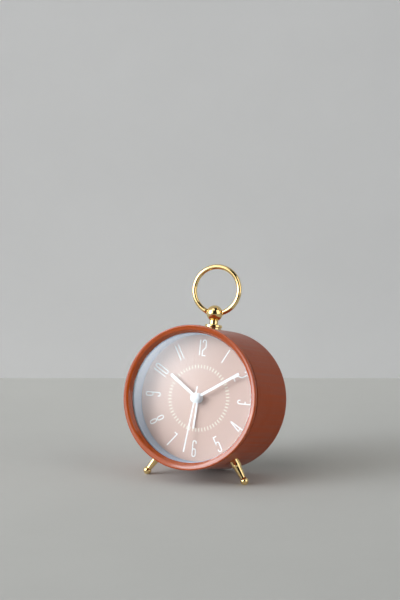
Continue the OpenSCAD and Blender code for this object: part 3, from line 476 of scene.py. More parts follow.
def skin(mesh, rings, closed=False, caps=False):
    """Faces from each ring of vertices to the next; a ring may be a single point."""
    for first, second in zip(rings, rings[1:] + rings[:1] if closed else rings[1:]):
        steps = max(len(first), len(second))
        for k in range(steps):
            after = (k + 1) % steps
            corners = [first[k % len(first)], first[after % len(first)],
                       second[after % len(second)], second[k % len(second)]]
            kept = list(dict.fromkeys(corners))
            if len(kept) > 2:
                mesh.faces.new(kept)
    if caps:
        mesh.faces.new(rings[0])
        mesh.faces.new(rings[-1])
    bmesh.ops.recalc_face_normals(mesh, faces=mesh.faces)


def lathe(corners, centre, axis, closed=True, rounds=4, steps=192):
    """Solid that an outline of (radius, along, rounding) corners in mm makes round an axis."""
    mesh = bmesh.new()
    side = axis.orthogonal().normalized()
    other = axis.cross(side)
    rings = []
    for radius, along in soften(corners, closed, rounds):
        middle = centre + axis * (along * MM)
        if radius < ON_AXIS:
            rings.append([mesh.verts.new(middle)])
        else:
            rings.append(circle(mesh, middle, side, other, radius * MM, steps))
    skin(mesh, rings, closed)
    return mesh


def add_piece(name, mesh, material, body, slot, *nodes, sharp=32):
    """Turns the mesh into a piece with its finish, its body and what it stands for; slot is not
    used.
    """
    data = bpy.data.meshes.new(name)
    mesh.to_mesh(data)
    mesh.free()
    data.polygons.foreach_set("use_smooth", [True] * len(data.polygons))
    data.set_sharp_from_angle(angle=radians(sharp))
    data.materials.append(material)
    piece = linked(name, data)
    weighting = piece.modifiers.new("flat faces stay flat", "WEIGHTED_NORMAL")
    weighting.keep_sharp = True
    seen = piece.evaluated_get(bpy.context.evaluated_depsgraph_get())
    piece.data = bpy.data.meshes.new_from_object(seen)
    piece.modifiers.remove(weighting)
    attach(piece, body)
    if nodes:
        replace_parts(piece, *nodes)
    print(name, "has", len(data.polygons), "faces")


# %% [markdown]
# The **bezel** is a rolled ring. Its broad front dips a little towards the glass between two
# tight shoulders, its inside falls in a straight cone, and a thin skirt behind it drops into
# the drum. A round front would be simpler to draw, but it shows only a thin line of light,
# and the dipping one shows the wide pale band that such a ring has. The **drum** is sheet
# steel with a fine bead at its front edge and an inturned lip at its rear. Its lowest edge
# stands on the table, so that edge is pressed flat there.

# %% Bezel and drum
def turned(name, corners, material, slot, node):
    """Piece of the case that is turned round the drum's axis and stands for one node."""
    add_piece(name, lathe(corners, ORIGIN, BACK), material, "case", slot, node)


def press_flat(mesh):
    """Lifts whatever would sink into the table onto its surface."""
    for vert in mesh.verts:
        vert.co.z = max(vert.co.z, 0)


# Each arc's centre lies on the normal where it meets the one before, so the outline has no kink.
bezel_corners = (
    [(44.9, 2.1, 0), (42.5, 2.1, 0.05), (42.5, 1.85, 0.12)]
    + arc((44.406, -0.738), 0.5, 207, 250, 8)  # inner shoulder
    + arc((46.8, 5.84), 7.5, 250, 270, 12)[1:]  # broad front that dips inwards
    + arc((46.8, -0.96), 0.7, 270, 360, 16)[1:]  # outer shoulder
    + arc((45.6, 0), 1.9, 0, 40, 8)  # back of the roll
    + [(46.6, 3.0, 0.3), (45.45, 3.0, 0.1), (45.45, 9.0, 0.15), (44.9, 9.0, 0.15)])
turned("bezel_ring", bezel_corners, bezel_paint, "rust_bezel", "front_bezel")

DRUM_SIDE, DRUM_INSIDE, DRUM_FRONT, DRUM_REAR = 46.6, 45.6, 3.6, 53.59
drum_corners = (
    [(DRUM_INSIDE, DRUM_FRONT, 0.2)]
    + arc((46.525, 3.9), 0.3, -90, 72, 8)  # bead
    + [(DRUM_SIDE, 4.4, 0.1)]
    + [(DRUM_SIDE, depth, 0) for depth in (14, 24, 34, 44)]  # side
    + arc((46.1, 53.09), 0.5, 0, 90, 6)  # rear edge
    + [(43.4, DRUM_REAR, 0.3), (43.4, 52.6, 0.3), (DRUM_INSIDE, 52.6, 0.6)])  # lip
drum_mesh = lathe(drum_corners, ORIGIN, BACK, steps=256)
press_flat(drum_mesh)
add_piece("drum_shell", drum_mesh, drum_paint, "case", "rust_paint", "case_drum")

# %% [markdown]
# Behind the bezel lie the **glass**, its rubber **gasket** and the deep pale **wall** that holds
# the dial back from the glass. The wall's grey-blue is painted shade: the pale plastic is given
# the darker, cooler look it has deep in its recess. The wall ends in a narrow step, which draws
# a fine light line round the dial. All four are round, so each is one short outline for the lathe.

# %% Glass, gasket, wall and dial
SEAT, WALL_INSIDE = 44.75, 42.0                 # radii in mm
LENS_FRONT, LENS_REAR, DIAL_FRONT, DIAL_REAR = 2.12, 3.88, 15.0, 15.8
turned("glass_lens", [(0.0, LENS_FRONT, 0), (44.6, LENS_FRONT, 0.2), (44.6, LENS_REAR, 0.2),
                      (0.0, LENS_REAR, 0)], glass, "clear_glass", "lens")
turned("gasket_ring", [(42.75, 3.92, 0.1), (SEAT, 3.92, 0.1), (SEAT, 4.48, 0.1),
                       (42.75, 4.48, 0.1)], rubber, "black_rubber", "lens_gasket")
turned("dial_wall", [(WALL_INSIDE, 4.5, 0.15), (SEAT, 4.5, 0.1), (SEAT, 5.9, 0.1),
                     (43.4, 5.9, 0.2), (43.4, 13.6, 0.2), (SEAT, 13.6, 0.1),
                     (SEAT, DIAL_FRONT, 0.1), (41.75, DIAL_FRONT, 0.05), (41.75, 14.5, 0.12),
                     (WALL_INSIDE, 14.3, 0.1)], pale_wall, "pale_wall", "dial_spacer")
turned("dial_plate", [(3.4, DIAL_FRONT, 0.06), (44.7, DIAL_FRONT, 0.1), (44.7, DIAL_REAR, 0.1),
                      (3.4, DIAL_REAR, 0.06)], dial_paint, "blush_dial", "dial")

# %% [markdown]
# The **printing** on the dial is twelve numerals and sixty dashes. The numerals are drawn in
# one thin line of even width, tall and narrow. A font would seldom be so narrow, so each is a
# path of points turned into a ribbon. They stand along the radius: from four to eight their
# feet point outwards, so that none is upside down.

# %% Paths of the numerals
HALF_WIDE, HALF_HIGH = 1.15, 5.15      # mm, to the middle of the line
TOP, LOW = HALF_HIGH - HALF_WIDE, HALF_WIDE - HALF_HIGH      # middles of the round ends
HOOK = 0.7                             # mm that an open end runs on past its round
ONE_AT, TWIN_AT = -2.3, 0.8            # where the two figures of 10 and 12 stand, in mm


def bow(height, start, end, steps=14):
    """Points on a half round of the numerals' width."""
    return [(point[0], point[1]) for point in arc((0, height), HALF_WIDE, start, end, steps)]


def ease(start, end, steps=12):
    """Points on an S-bend from one point to another, upright at both ends."""
    return [(start[0] + (end[0] - start[0]) * (1 - cos(pi * i / steps)) / 2,
             start[1] + (end[1] - start[1]) * i / steps) for i in range(steps + 1)]


def shifted(path, across):
    return [(u + across, v) for u, v in path]


one = [(0, -HALF_HIGH), (0, HALF_HIGH)]
oval = bow(TOP, 0, 180) + bow(LOW, 180, 360)
two = ([(-HALF_WIDE, TOP - HOOK)] + bow(TOP, 180, 0)
       + ease((HALF_WIDE, 0.8), (-HALF_WIDE, -2.6))
       + [(-HALF_WIDE, -HALF_HIGH), (HALF_WIDE + 0.1, -HALF_HIGH)])
six = [(HALF_WIDE, TOP - HOOK)] + bow(TOP, 0, 180) + [(-HALF_WIDE, -1.2)]
six_bowl = bow(-1.3, 0, 180) + bow(LOW, 180, 360)
GLYPHS = {       # (path, closed) for each line of a numeral
    "1": [(one, False)],
    "2": [(two, False)],
    "3": [([(-HALF_WIDE, TOP - HOOK)] + bow(TOP, 180, 0) + bow(LOW, 0, -180)
           + [(-HALF_WIDE, LOW + HOOK)], False), ([(-0.5, 0.1), (HALF_WIDE, 0.1)], False)],
    "4": [([(0.9, -HALF_HIGH), (0.9, HALF_HIGH - 0.35), (0.65, HALF_HIGH), (0.4, HALF_HIGH - 0.5),
            (-HALF_WIDE - 0.2, -2.6), (HALF_WIDE + 0.5, -2.6)], False)],
    "5": [([(HALF_WIDE, HALF_HIGH), (-HALF_WIDE, HALF_HIGH), (-HALF_WIDE, 0.4)] + bow(0.2, 180, 0)
           + bow(LOW, 0, -180) + [(-HALF_WIDE, LOW + HOOK)], False)],
    "6": [(six, False), (six_bowl, True)],
    "7": [([(-HALF_WIDE, HALF_HIGH), (HALF_WIDE, HALF_HIGH), (-0.8, -HALF_HIGH)], False)],
    "8": [(bow(TOP, 180, 0) + ease((HALF_WIDE, 1.9), (-HALF_WIDE, -1.9)) + bow(LOW, 180, 360)
           + ease((HALF_WIDE, -1.9), (-HALF_WIDE, 1.9)), True)],
    "9": [([(-u, -v) for u, v in six], False), ([(-u, -v) for u, v in six_bowl], True)],
    "10": [(shifted(one, ONE_AT), False), (shifted(oval, TWIN_AT), True)],
    "11": [(shifted(one, -HALF_WIDE), False), (shifted(one, HALF_WIDE), False)],
    "12": [(shifted(one, ONE_AT), False), (shifted(two, TWIN_AT), False)],
}
print("numerals drawn:", len(GLYPHS), "with", sum(len(lines) for lines in GLYPHS.values()), "lines")

# %% Numerals as ribbons of ink
INK, NUMERAL_AT, STROKE = 0.03, 33.3, 0.78     # mm: thickness, radius and width of line
SHARPEST = 0.5       # a corner widens the line at most by one over this


def ribbon(mesh, path, closed, spot):
    """Thin raised line along a path; spot turns (u, v, rise) in mm into a world place."""
    path = [Vector(point) for k, point in enumerate(path) if k == 0 or point != path[k - 1]]
    count = len(path)
    rows = []
    for k, here in enumerate(path):
        last = path[k - 1] if k or closed else here
        following = path[(k + 1) % count] if k < count - 1 or closed else here
        ahead = (following - here).normalized() if following != here else (here - last).normalized()
        behind = (here - last).normalized() if last != here else ahead
        along = (ahead + behind).normalized()
        across = Vector((-along.y, along.x)) * (STROKE / 2 / max(SHARPEST, along.dot(ahead)))
        rows.append([mesh.verts.new(spot(point.x, point.y, rise)) for point, rise in (
            (here + across, 0), (here - across, 0), (here - across, INK), (here + across, INK))])
    skin(mesh, rows, closed, caps=not closed)


numeral_mesh = bmesh.new()
for hour in range(1, 13):
    turn = radians(30 * hour)
    outward = Vector((sin(turn), cos(turn)))
    clockwise = Vector((cos(turn), -sin(turn)))
    sense = -1 if 4 <= hour <= 8 else 1

    def spot(u, v, rise, outward=outward, clockwise=clockwise, sense=sense):
        at = outward * (NUMERAL_AT + sense * v) + clockwise * (sense * u)
        return place(at.x * MM, (DIAL_FRONT - rise) * MM, at.y * MM)

    for path, closed in GLYPHS[str(hour)]:
        ribbon(numeral_mesh, path, closed, spot)
add_piece("dial_numerals", numeral_mesh, ink, "case", "white_hand")

# %% [markdown]
# The sixty dashes repeat, so **Geometry Nodes** lay them out: points on a ring, one dash on
# each, turned to face the centre. The tree takes the ring's size and the dash's size as named
# inputs. Its result is made real geometry and then a plain mesh, which can be placed on the
# dial like any other.

# %% Minute dashes by Geometry Nodes
def grown_mesh(tree, values):
    """Plain bmesh of what a tree makes with these values in its named inputs."""
    seed = linked("seed", bpy.data.meshes.new("seed"))
    modifier = seed.modifiers.new("grow", "NODES")
    modifier.node_group = tree
    for item in tree.interface.items_tree:
        if item.in_out == "INPUT" and item.name in values:
            modifier[item.identifier] = values[item.name]
    seen = seed.evaluated_get(bpy.context.evaluated_depsgraph_get())
    data = bpy.data.meshes.new_from_object(seen)
    mesh = bmesh.new()
    mesh.from_mesh(data)
    bpy.data.objects.remove(seed)
    bpy.data.meshes.remove(data)
    return mesh


ring_tree, write, given, out = new_group(
    "ring of blocks", [("Geometry", "geometry"), ("Count", "count"), ("Radius", "value"),
                       ("Block", "vector"), ("Finish", "material")],
    [("Geometry", "geometry")], tree="GeometryNodeTree")
ring_tree.is_modifier = True
hoop = write.add("GeometryNodeMeshCircle", {"Vertices": given["Count"], "Radius": given["Radius"]})
spots = write.add("GeometryNodeMeshToPoints", {"Mesh": hoop.outputs[0]})
outward = write.add("GeometryNodeInputPosition").outputs[0]
facing = write.add("FunctionNodeAlignRotationToVector", {"Vector": outward}, axis="Y")
block = write.add("GeometryNodeMeshCube", {"Size": given["Block"]})
copies = write.add("GeometryNodeInstanceOnPoints", {
    "Points": spots.outputs[0], "Instance": block.outputs[0], "Rotation": facing.outputs[0]})
real = write.add("GeometryNodeRealizeInstances", {0: copies.outputs[0]})
dressed = write.add("GeometryNodeSetMaterial",
                    {"Geometry": real.outputs[0], "Material": given["Finish"]})
close_group(write, out, geometry=dressed.outputs[0])

TICKS, TICK_MIDDLE, TICK_SIZE = 60, 20.9, (0.78, 2.5, INK)      # count, radius and size in mm
tick_mesh = grown_mesh(ring_tree, {"Count": TICKS, "Radius": TICK_MIDDLE * MM,
                                   "Block": Vector(TICK_SIZE) * MM, "Finish": tick_ink})
for vert in tick_mesh.verts:
    vert.co = place(vert.co.x, (DIAL_FRONT - INK / 2) * MM + vert.co.z, vert.co.y)
bmesh.ops.recalc_face_normals(tick_mesh, faces=tick_mesh.faces)
add_piece("dial_minute_dashes", tick_mesh, tick_ink, "case", "white_hand")

# %% [markdown]
# A built piece whose shape is already right only needs its faces joined, so that curves can
# be smooth while edges stay crisp. The **hands** are such pieces: flat bars with a round boss
# and a collar behind it. A small bevel rounds the bars' edges, as lacquer does.

# %% Copy a built piece with joined faces
DOUBLES, SLIVERS = 0.002 * MM, 0.001 * MM
ONE_PLANE, TRUE_EDGE = radians(0.3), radians(40)
HAND_BEVEL = 0.07             # mm


def joined(node, bevel=0.0):
    """Copy of a built piece's mesh with its doubles merged and, if asked, its edges bevelled."""
    mesh = bmesh.new()
    mesh.from_mesh(frame["nodes"][node].data)
    bmesh.ops.remove_doubles(mesh, verts=mesh.verts, dist=DOUBLES)
    bmesh.ops.dissolve_degenerate(mesh, dist=SLIVERS, edges=mesh.edges)
    if bevel:
        bmesh.ops.dissolve_limit(mesh, angle_limit=ONE_PLANE, verts=mesh.verts, edges=mesh.edges)
        sharp = [edge for edge in mesh.edges
                 if len(edge.link_faces) == 2 and edge.calc_face_angle() > TRUE_EDGE]
        bmesh.ops.bevel(mesh, geom=sharp, offset=bevel * MM, offset_type="OFFSET", segments=2,
                        profile=0.5, affect="EDGES", clamp_overlap=True)
    return mesh


def body_of(node):
    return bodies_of(frame["nodes"][node])[0]


for node in ("hour_hand", "minute_hand", "alarm_hand", "second_hand"):
    add_piece(node + "_lacquered", joined(node, HAND_BEVEL), white_lacquer, body_of(node),
              "white_hand", node)

# %% [markdown]
# The small **cap** over the hands is a shallow dome with a flat back. It could be cut from a
# ball, but it is shorter to work out the dome's radius from the cap's width and rise, and to
# turn its arc on the lathe like the rest.

# %% Centre cap
SECOND_FRONT, CAP_RADIUS, CAP_RISE = 8.8, 3.3, 1.2
CAP_SWING = 0.97              # share of the dome's arc; a short straight line makes its rim
dome = (CAP_RADIUS ** 2 + CAP_RISE ** 2) / (2 * CAP_RISE)
swing = degrees(asin(CAP_RADIUS / dome)) * CAP_SWING
cap_corners = (arc((0, SECOND_FRONT - CAP_RISE + dome), dome, -90, -90 + swing, 16)
               + [(CAP_RADIUS, SECOND_FRONT, 0), (0, SECOND_FRONT, 0)])
add_piece("centre_cap_dome", lathe(cap_corners, ORIGIN, BACK, closed=False, steps=96),
          white_lacquer, body_of("centre_cap"), "white_hand", "centre_cap")

# %% [markdown]
# The **handle** is brass. A stem stands on the drum: flange, waist and ball in one turning,
# with small rounds where they meet. A ring of wire hangs in the ball on two short pins, and a
# thin washer, cut to the drum's curve, lies under the flange.

# %% Stem and washer
HANDLE_DEPTH, BALL_AT, BALL_RADIUS = 27.7, 57.0, 5.45
FLANGE_FOOT, FLANGE_TOP, FLANGE_RADIUS, NECK_RADIUS = 47.45, 49.45, 5.8, 2.9
WASHER_HOLE, WASHER_RADIUS, WASHER_TOP = 2.2, 5.2, 47.38
SEAT_BELOW, SEAT_GAP = 46.5, 0.05
NECK_ROOM, ANKLE_ROOM = 2, 3      # degrees of a ball's arc that are left to the rounding
handle_foot = place(0, HANDLE_DEPTH * MM, 0)
neck_top = BALL_AT - sqrt(BALL_RADIUS ** 2 - NECK_RADIUS ** 2)
neck_turn = degrees(atan2(neck_top - BALL_AT, NECK_RADIUS))
stem_corners = (
    [(0, FLANGE_FOOT, 0), (FLANGE_RADIUS, FLANGE_FOOT, 0.35), (FLANGE_RADIUS, FLANGE_TOP, 0.55),
     (NECK_RADIUS, FLANGE_TOP, 0.5), (NECK_RADIUS, neck_top, 0.35)]
    + arc((0, BALL_AT), BALL_RADIUS, neck_turn + NECK_ROOM, 90, 32))
stem_mesh = lathe(stem_corners, handle_foot, UP, closed=False, rounds=6, steps=128)
add_piece("handle_stem_turned", stem_mesh, brass, "case", "polished_brass", "handle_stem")


def seat_on_drum(mesh, foot, axis):
    """Moves the lower end of a turned piece along its axis to just off the drum's side."""
    for vert in mesh.verts:
        along = (vert.co - foot).dot(axis)
        if along < SEAT_BELOW * MM:
            off = vert.co - foot - axis * along
            sideways = off - BACK * off.dot(BACK)
            seat = sqrt(((DRUM_SIDE + SEAT_GAP) * MM) ** 2 - sideways.length ** 2)
            vert.co += axis * (seat - along)


washer_mesh = lathe([(WASHER_HOLE, 46, 0), (WASHER_RADIUS, 46, 0), (WASHER_RADIUS, WASHER_TOP, 0.2),
                     (WASHER_HOLE, WASHER_TOP, 0.1)], handle_foot, UP, steps=128)
seat_on_drum(washer_mesh, handle_foot, UP)
add_piece("handle_washer_turned", washer_mesh, brass, "case", "polished_brass", "handle_washer")

# %% [markdown]
# The **ring** is wire bent to a circle whose ends stop just short of the ball. A torus would be
# simpler but has no ends, so the wire is swept point by point. Each end is rounded, and a pin
# runs from it into the ball.

# %% Ring of wire
RING_RADIUS, WIRE_RADIUS, RING_TURN, BALL_GAP = 15.6, 1.645, radians(6), 0.25
PIN_RADIUS, PIN_FROM, PIN_TO = 0.8, 2.6, 6.3
RING_STEPS, END_SHARE = 160, 0.012
END_ROUNDING = [(0.0, -0.3), (0.1, -0.1), (0.3, 0.0)]       # (along, change of radius) in mm
ring_across = RIGHT * cos(RING_TURN) + BACK * sin(RING_TURN)
ring_normal = UP.cross(ring_across)
ball_middle = handle_foot + UP * (BALL_AT * MM)
ring_middle = ball_middle + UP * (RING_RADIUS * MM)


def sweep(mesh, stations, sides=40):
    """Closed tube through (middle, first direction, second direction, radius) stations."""
    skin(mesh, [circle(mesh, *station, sides) for station in stations], caps=True)


def ring_station(angle, along=0.0, change=0.0):
    """Station on the wire at an angle from the ball, moved along the wire by a length in mm."""
    outward = ring_across * sin(angle) - UP * cos(angle)
    forward = ring_across * cos(angle) + UP * sin(angle)
    middle = ring_middle + outward * (RING_RADIUS * MM) + forward * (along * MM)
    return middle, outward, ring_normal, (WIRE_RADIUS + change) * MM


ring_mesh = bmesh.new()
start = 2 * asin((BALL_RADIUS + BALL_GAP) / 2 / RING_RADIUS)
stop = 2 * pi - start
shares = [END_SHARE + (1 - 2 * END_SHARE) * k / RING_STEPS for k in range(RING_STEPS + 1)]
stations = [ring_station(start, along, change) for along, change in END_ROUNDING]
stations += [ring_station(start + (stop - start) * share) for share in shares]
stations += [ring_station(stop, -along, change) for along, change in reversed(END_ROUNDING)]
sweep(ring_mesh, stations)
for side in (-1, 1):
    sweep(ring_mesh, [(ball_middle + ring_across * (side * out * MM), UP, ring_normal,
                       PIN_RADIUS * MM) for out in (PIN_FROM, PIN_TO)], sides=24)
add_piece("handle_ring_wire", ring_mesh, brass, "ring", "polished_brass", "handle_ring")

# %% [markdown]
# Each **leg** is one turning of brass: a collar against the drum, a bevel, a long taper and a
# ball foot. One outline serves both legs. The collar's seat follows the drum as the washer's
# does, and the ball is flat where it stands.

# %% Legs
LEG_ANGLE, LEG_DEPTH, LEG_ROOT = radians(34.7), 20.5, 45.8
COLLAR_RADIUS, COLLAR_END, SHAFT_RADIUS, SHAFT_START = 3.2, 50.9, 2.65, 52.0
FOOT_AT, FOOT_RADIUS, ANKLE_RADIUS = 62.1, 2.7, 1.8
ankle = asin(ANKLE_RADIUS / FOOT_RADIUS)
leg_corners = (
    [(0, LEG_ROOT, 0), (COLLAR_RADIUS, LEG_ROOT, 0), (COLLAR_RADIUS, COLLAR_END, 0.25),
     (SHAFT_RADIUS, SHAFT_START, 0.3),
     (ANKLE_RADIUS, FOOT_AT - FOOT_RADIUS * cos(ankle), 0.25)]
    + arc((0, FOOT_AT), FOOT_RADIUS, degrees(ankle) - 90 + ANKLE_ROOM, 90, 24))
for node, side in (("left_leg", -1), ("right_leg", 1)):
    down = RIGHT * (side * sin(LEG_ANGLE)) - UP * cos(LEG_ANGLE)
    top = place(0, LEG_DEPTH * MM, 0)
    leg_mesh = lathe(leg_corners, top, down, closed=False, rounds=6, steps=96)
    seat_on_drum(leg_mesh, top, down)
    press_flat(leg_mesh)
    add_piece(node + "_turned", leg_mesh, brass, "case", "polished_brass", node)

# %% [markdown]
# At the back a recessed black **cover** carries two **setting knobs**. A knob is a fluted
# grip: a round outline with evenly spaced hollows, drawn level by level from its foot to its
# bevelled end, where a shallow dish keeps the moulding thin.

# %% Setting knobs
KNOB_FOOT, KNOB_ACROSS, KNOB_RADIUS, KNOB_END, KNOB_DISH = 40.2, 14.4, 5.5, 7.0, 6.6
FLUTES, FLUTE_STEPS, FLUTE_DEPTH = 20, 12, 0.36
KNOB_LEVELS = [      # (how far inside the radius, along, share of the flutes' depth), in mm
    (KNOB_RADIUS, 0, 0), (0.25, 0, 0), (0, 0.25, 0), (0, 1.35, 0), (0.03, 1.55, 0.5),
    (0.05, 1.9, 1), (0.05, 6.2, 1), (0.25, 6.6, 0.9), (0.7, KNOB_END, 0.3), (1.1, KNOB_END, 0),
    (1.4, 6.75, 0), (2.2, KNOB_DISH, 0), (KNOB_RADIUS, KNOB_DISH, 0)]


def knob_mesh(across):
    """Fluted knob whose axis runs backwards at a place across the drum."""
    mesh = bmesh.new()
    sides = FLUTES * FLUTE_STEPS
    rings = []
    for inside, along, share in KNOB_LEVELS:
        middle = place(across * MM, (KNOB_FOOT + along) * MM, 0)
        ring = []
        for k in range(sides if inside < KNOB_RADIUS else 1):
            t = 2 * pi * k / sides
            hollow = FLUTE_DEPTH * share * max(0, cos(FLUTES * t)) ** 1.5
            outward = RIGHT * cos(t) + UP * sin(t)
            ring.append(mesh.verts.new(middle + outward * ((KNOB_RADIUS - inside - hollow) * MM)))
        rings.append(ring)
    skin(mesh, rings)
    return mesh


for node, across in (("time_set_knob", KNOB_ACROSS), ("alarm_set_knob", -KNOB_ACROSS)):
    add_piece(node + "_fluted", knob_mesh(across), knob_plastic, body_of(node), "black_knob", node)

# %% [markdown]
# Everything else keeps its built shape. Each node of the record names the slot that its finish
# comes from, so a table of finishes by slot dresses the cover, the door, the screws and the
# whole movement in one loop. Each gets joined faces, so that its curves are smooth.

# %% Finishes of the movement
FINISH_OF = {
    "rust_paint": drum_paint, "rust_bezel": bezel_paint, "clear_glass": glass,
    "black_rubber": rubber, "pale_wall": pale_wall, "blush_dial": dial_paint,
    "white_hand": white_lacquer, "grey_plastic": grey_plastic, "black_plastic": black_plastic,
    "black_knob": knob_plastic, "polished_brass": brass, "zinc_screw": zinc,
    "movement_case": case_plastic, "steel_arbor": steel,
    "rotor_magnet": finish("sintered magnet", (74, 76, 80), 0.45, METAL, grain=0.15,
                           bump=0.01, dust=0),
    "motor_iron": finish("laminated iron", (128, 130, 134), 0.4, METAL, grain=0.2,
                         bump=0.006, dust=0, streak=((0.05, 1.0, 1.0), 0.2)),
    "train_plate": finish("cream plate plastic", (226, 216, 184), 0.5, grain=0.4,
                          bump=0.012, drift=0.02),
    "white_gear": finish("white gear plastic", (236, 233, 222), 0.34, grain=0.3,
                         bump=0.006, drift=0.015, edge=0.05),
    "bobbin": finish("bobbin plastic", (222, 214, 190), 0.35, grain=0.3, bump=0.006),
    "copper_wire": finish("enamelled copper", (206, 122, 74), 0.3, METAL, grain=0.2,
                          bump=0.01, dust=0, streak=((4.0, 0.2, 0.2), 0.5)),
    "board_green": finish("green board", (40, 104, 62), 0.35, grain=0.3, bump=0.01, drift=0.1),
    "buzzer_black": finish("buzzer case", (36, 36, 38), 0.55, grain=0.3, bump=0.02),
    "contact_metal": finish("nickel plate", (196, 192, 180), 0.24, METAL, grain=0.3,
                            bump=0.004, dust=0.05),
    "ivory_slider": finish("ivory plastic", (226, 221, 204), 0.32, grain=0.4, bump=0.006,
                           drift=0.02),
    "battery_jacket": finish("battery jacket", (122, 128, 134), 0.28,
                             {"Metallic": 0.7, "Coat Weight": 0.5}, grain=0.8, bump=0.003,
                             drift=0.02)}
print("slots with a finish:", len(FINISH_OF))

# %% Dress every other node
already = {node for piece in bpy.data.objects for node in piece.get("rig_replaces", ())}
for part in frame["record"]["subparts"]:
    node, slot = part["node"], part["material_slot"]
    if node not in already:
        add_piece(node + "_finished", joined(node), FINISH_OF[slot], body_of(node), slot, node,
                  sharp=30)
    for socket in frame["nodes"][node].material_slots:
        socket.material = FINISH_OF[slot]

# %% [markdown]
# The **stage** is plain: a pale floor and a wall behind it, parallel to the picture. One curved
# sheet would hide the line where they meet, so they are two planes. The wall can't be seen from
# behind, so that a camera that goes round the clock looks through it.

# %% Floor and wall
WALL_BEHIND, REACH, WALL_HIGH = 0.354, 4, 3       # metres


def stage_surface(name, colour, see_through_back=False):
    """Matt paint with faint clouds and painted shade that darkens it to the right, away from the
    light.
    """
    material, write, own = new_material(name)
    colour = srgb(*colour)
    cloud = write.add("ShaderNodeTexNoise", {"Vector": own, "Scale": 9.0, "Detail": 5.0,
                                             "Roughness": 0.6}).outputs[0]
    shade = write.mix(write.span(cloud, 0.35, 0.65), tone(colour, 0.985), tone(colour, 1.015))
    # Painted shade: to the right the colour falls by up to an eighth, as if the light faded there.
    across = write.add("ShaderNodeSeparateXYZ", {0: own}).outputs[0]
    shade = write.mix(write.span(across, -0.1, 0.3, 0.0, 0.3), shade, tone(colour, 0.6))
    shader = write.add("ShaderNodeBsdfPrincipled", {"Base Color": shade, "Roughness": 0.9})
    surface = shader.outputs[0]
    if see_through_back:
        clear = write.add("ShaderNodeBsdfTransparent").outputs[0]
        hidden = write.math("MULTIPLY", write.add("ShaderNodeNewGeometry").outputs["Backfacing"],
                            write.add("ShaderNodeLightPath").outputs["Is Camera Ray"])
        surface = write.add("ShaderNodeMixShader", {0: hidden, 1: surface, 2: clear}).outputs[0]
    write.add("ShaderNodeOutputMaterial", {"Surface": surface})
    return material


def stage_plane(name, corners, material):
    data = bpy.data.meshes.new(name)
    data.from_pydata(corners, [], [tuple(range(len(corners)))])
    data.materials.append(material)
    linked(name, data)
    print("the", name, "faces", [round(v, 2) for v in data.polygons[0].normal])


away = Vector((-sin(VIEW_TURN), cos(VIEW_TURN), 0))
foot_of_wall = Vector((ORIGIN.x, ORIGIN.y, 0)) + away * WALL_BEHIND
left, right = foot_of_wall - camera_right * REACH, foot_of_wall + camera_right * REACH
upwards = Vector((0, 0, WALL_HIGH))
floor_corners = [(x * REACH, y * REACH, 0) for x, y in ((-1, -1), (1, -1), (1, 1), (-1, 1))]
stage_plane("floor", floor_corners, stage_surface("pale floor", (188, 188, 184)))
stage_plane("wall", [left, right, right + upwards, left + upwards],
            stage_surface("pale backdrop", (208, 208, 208), see_through_back=True))

# %% [markdown]
# The light is soft and comes from the left, a little above the clock. A real studio does this
# with large panels whose light fades at the rim, and polished brass and glass show each panel.
# So the panels are painted into the world: each has a heading, a height, a width, a soft rim
# and a strength. The world stays dark behind the camera, which gives the brass its dark lines.
# One small lamp inside the main panel draws the hands' soft shadows.

# %% Soft studio light
LAMP_TURN, LAMP_RISE, LAMP_FAR = radians(-44), radians(34), 1.7
LAMP_AIM, LAMP_SIZE, LAMP_POWER = Vector((0, 0, 0.06)), 0.5, 2.0       # metres and watts
lamp = linked("key lamp", bpy.data.lights.new("key lamp", "AREA"))
lamp.data.shape, lamp.data.size, lamp.data.size_y = "RECTANGLE", LAMP_SIZE, LAMP_SIZE
lamp.data.energy = LAMP_POWER
to_lamp = towards(LAMP_TURN, LAMP_RISE)
lamp.location = LAMP_AIM + to_lamp * LAMP_FAR
lamp.rotation_euler = to_lamp.to_track_quat("Z", "Y").to_euler()

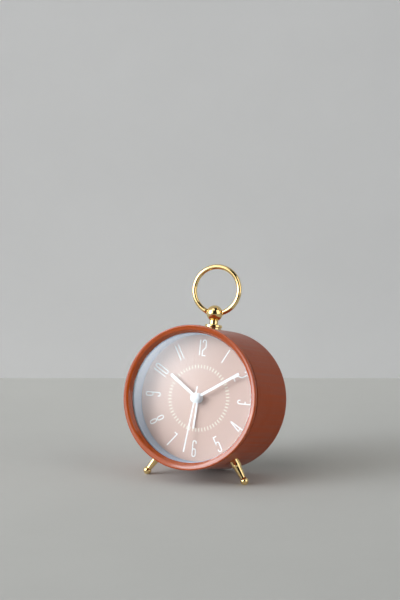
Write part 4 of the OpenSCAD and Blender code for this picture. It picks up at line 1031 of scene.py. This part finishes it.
world = bpy.data.worlds.new("studio")
bpy.context.scene.world = world
world.use_nodes = True
write = Writer(world.node_tree)
write.tree.nodes.clear()
direction = write.add("ShaderNodeTexCoord").outputs["Generated"]
heading = write.add("ShaderNodeSeparateXYZ", {0: direction}).outputs
turn = write.math("ARCTAN2", heading[0], write.math("MULTIPLY", heading[1], -1.0))
rise = write.math("ARCSINE", heading[2])


def panel(middle_turn, half_wide, middle_rise, half_high, rim, strength):
    """Brightness of a soft panel in the world, its place and size in degrees."""
    result = strength
    for angle, middle, half in ((turn, middle_turn, half_wide), (rise, middle_rise, half_high)):
        off = write.math("ABSOLUTE", write.math("SUBTRACT", angle, radians(middle)))
        mask = write.add("ShaderNodeMapRange",
                         {0: off, 1: radians(half + rim), 2: radians(half - rim)},
                         interpolation_type="SMOOTHSTEP").outputs[0]
        result = write.math("MULTIPLY", mask, result)
    return result


COOL, WARM = (0.88, 0.94, 1, 1), (1, 0.97, 0.93, 1)
PANELS = [       # colour, middle turn, half width, middle rise, half height, soft rim, strength
    (COOL, -38.6, 13, 23.05, 12.25, 1.8, 7.8),  # main panel
    (COOL, -86, 34, 22, 26, 4, 0.7),  # broad and dim, far left
    (COOL, -41, 10.5, 7, 5, 1.5, 7.5),  # low, under the main panel
    (WARM, -17, 12.5, 31, 17, 1.6, 1.7),  # right of the main panel
    (WARM, -14.5, 6, 11, 6, 1.8, 2.2),  # small, below that one
    (WARM, 81, 24, 24, 26, 4, 1.55),  # right side
    (WARM, -22, 44, 66, 14, 4, 1.5),  # overhead
    (COOL, -65, 13, 19, 17, 1.8, 4.2),  # left of the main panel
    (COOL, -96, 18, 14, 18, 3, 4.0),  # far left and behind
    (COOL, -38, 10, 46, 10, 1.8, 1.8)]  # over the main panel
sky = write.add("ShaderNodeBackground", {"Color": (0.95, 0.97, 1, 1), "Strength": 0.03})
for colour, *shape in PANELS:
    glow = write.add("ShaderNodeBackground", {"Color": colour, "Strength": panel(*shape)})
    sky = write.add("ShaderNodeAddShader", {0: sky.outputs[0], 1: glow.outputs[0]})
write.add("ShaderNodeOutputWorld", {"Surface": sky.outputs[0]})
print("panels in the world:", len(PANELS))
bpy.context.scene.view_settings.view_transform = "Standard"
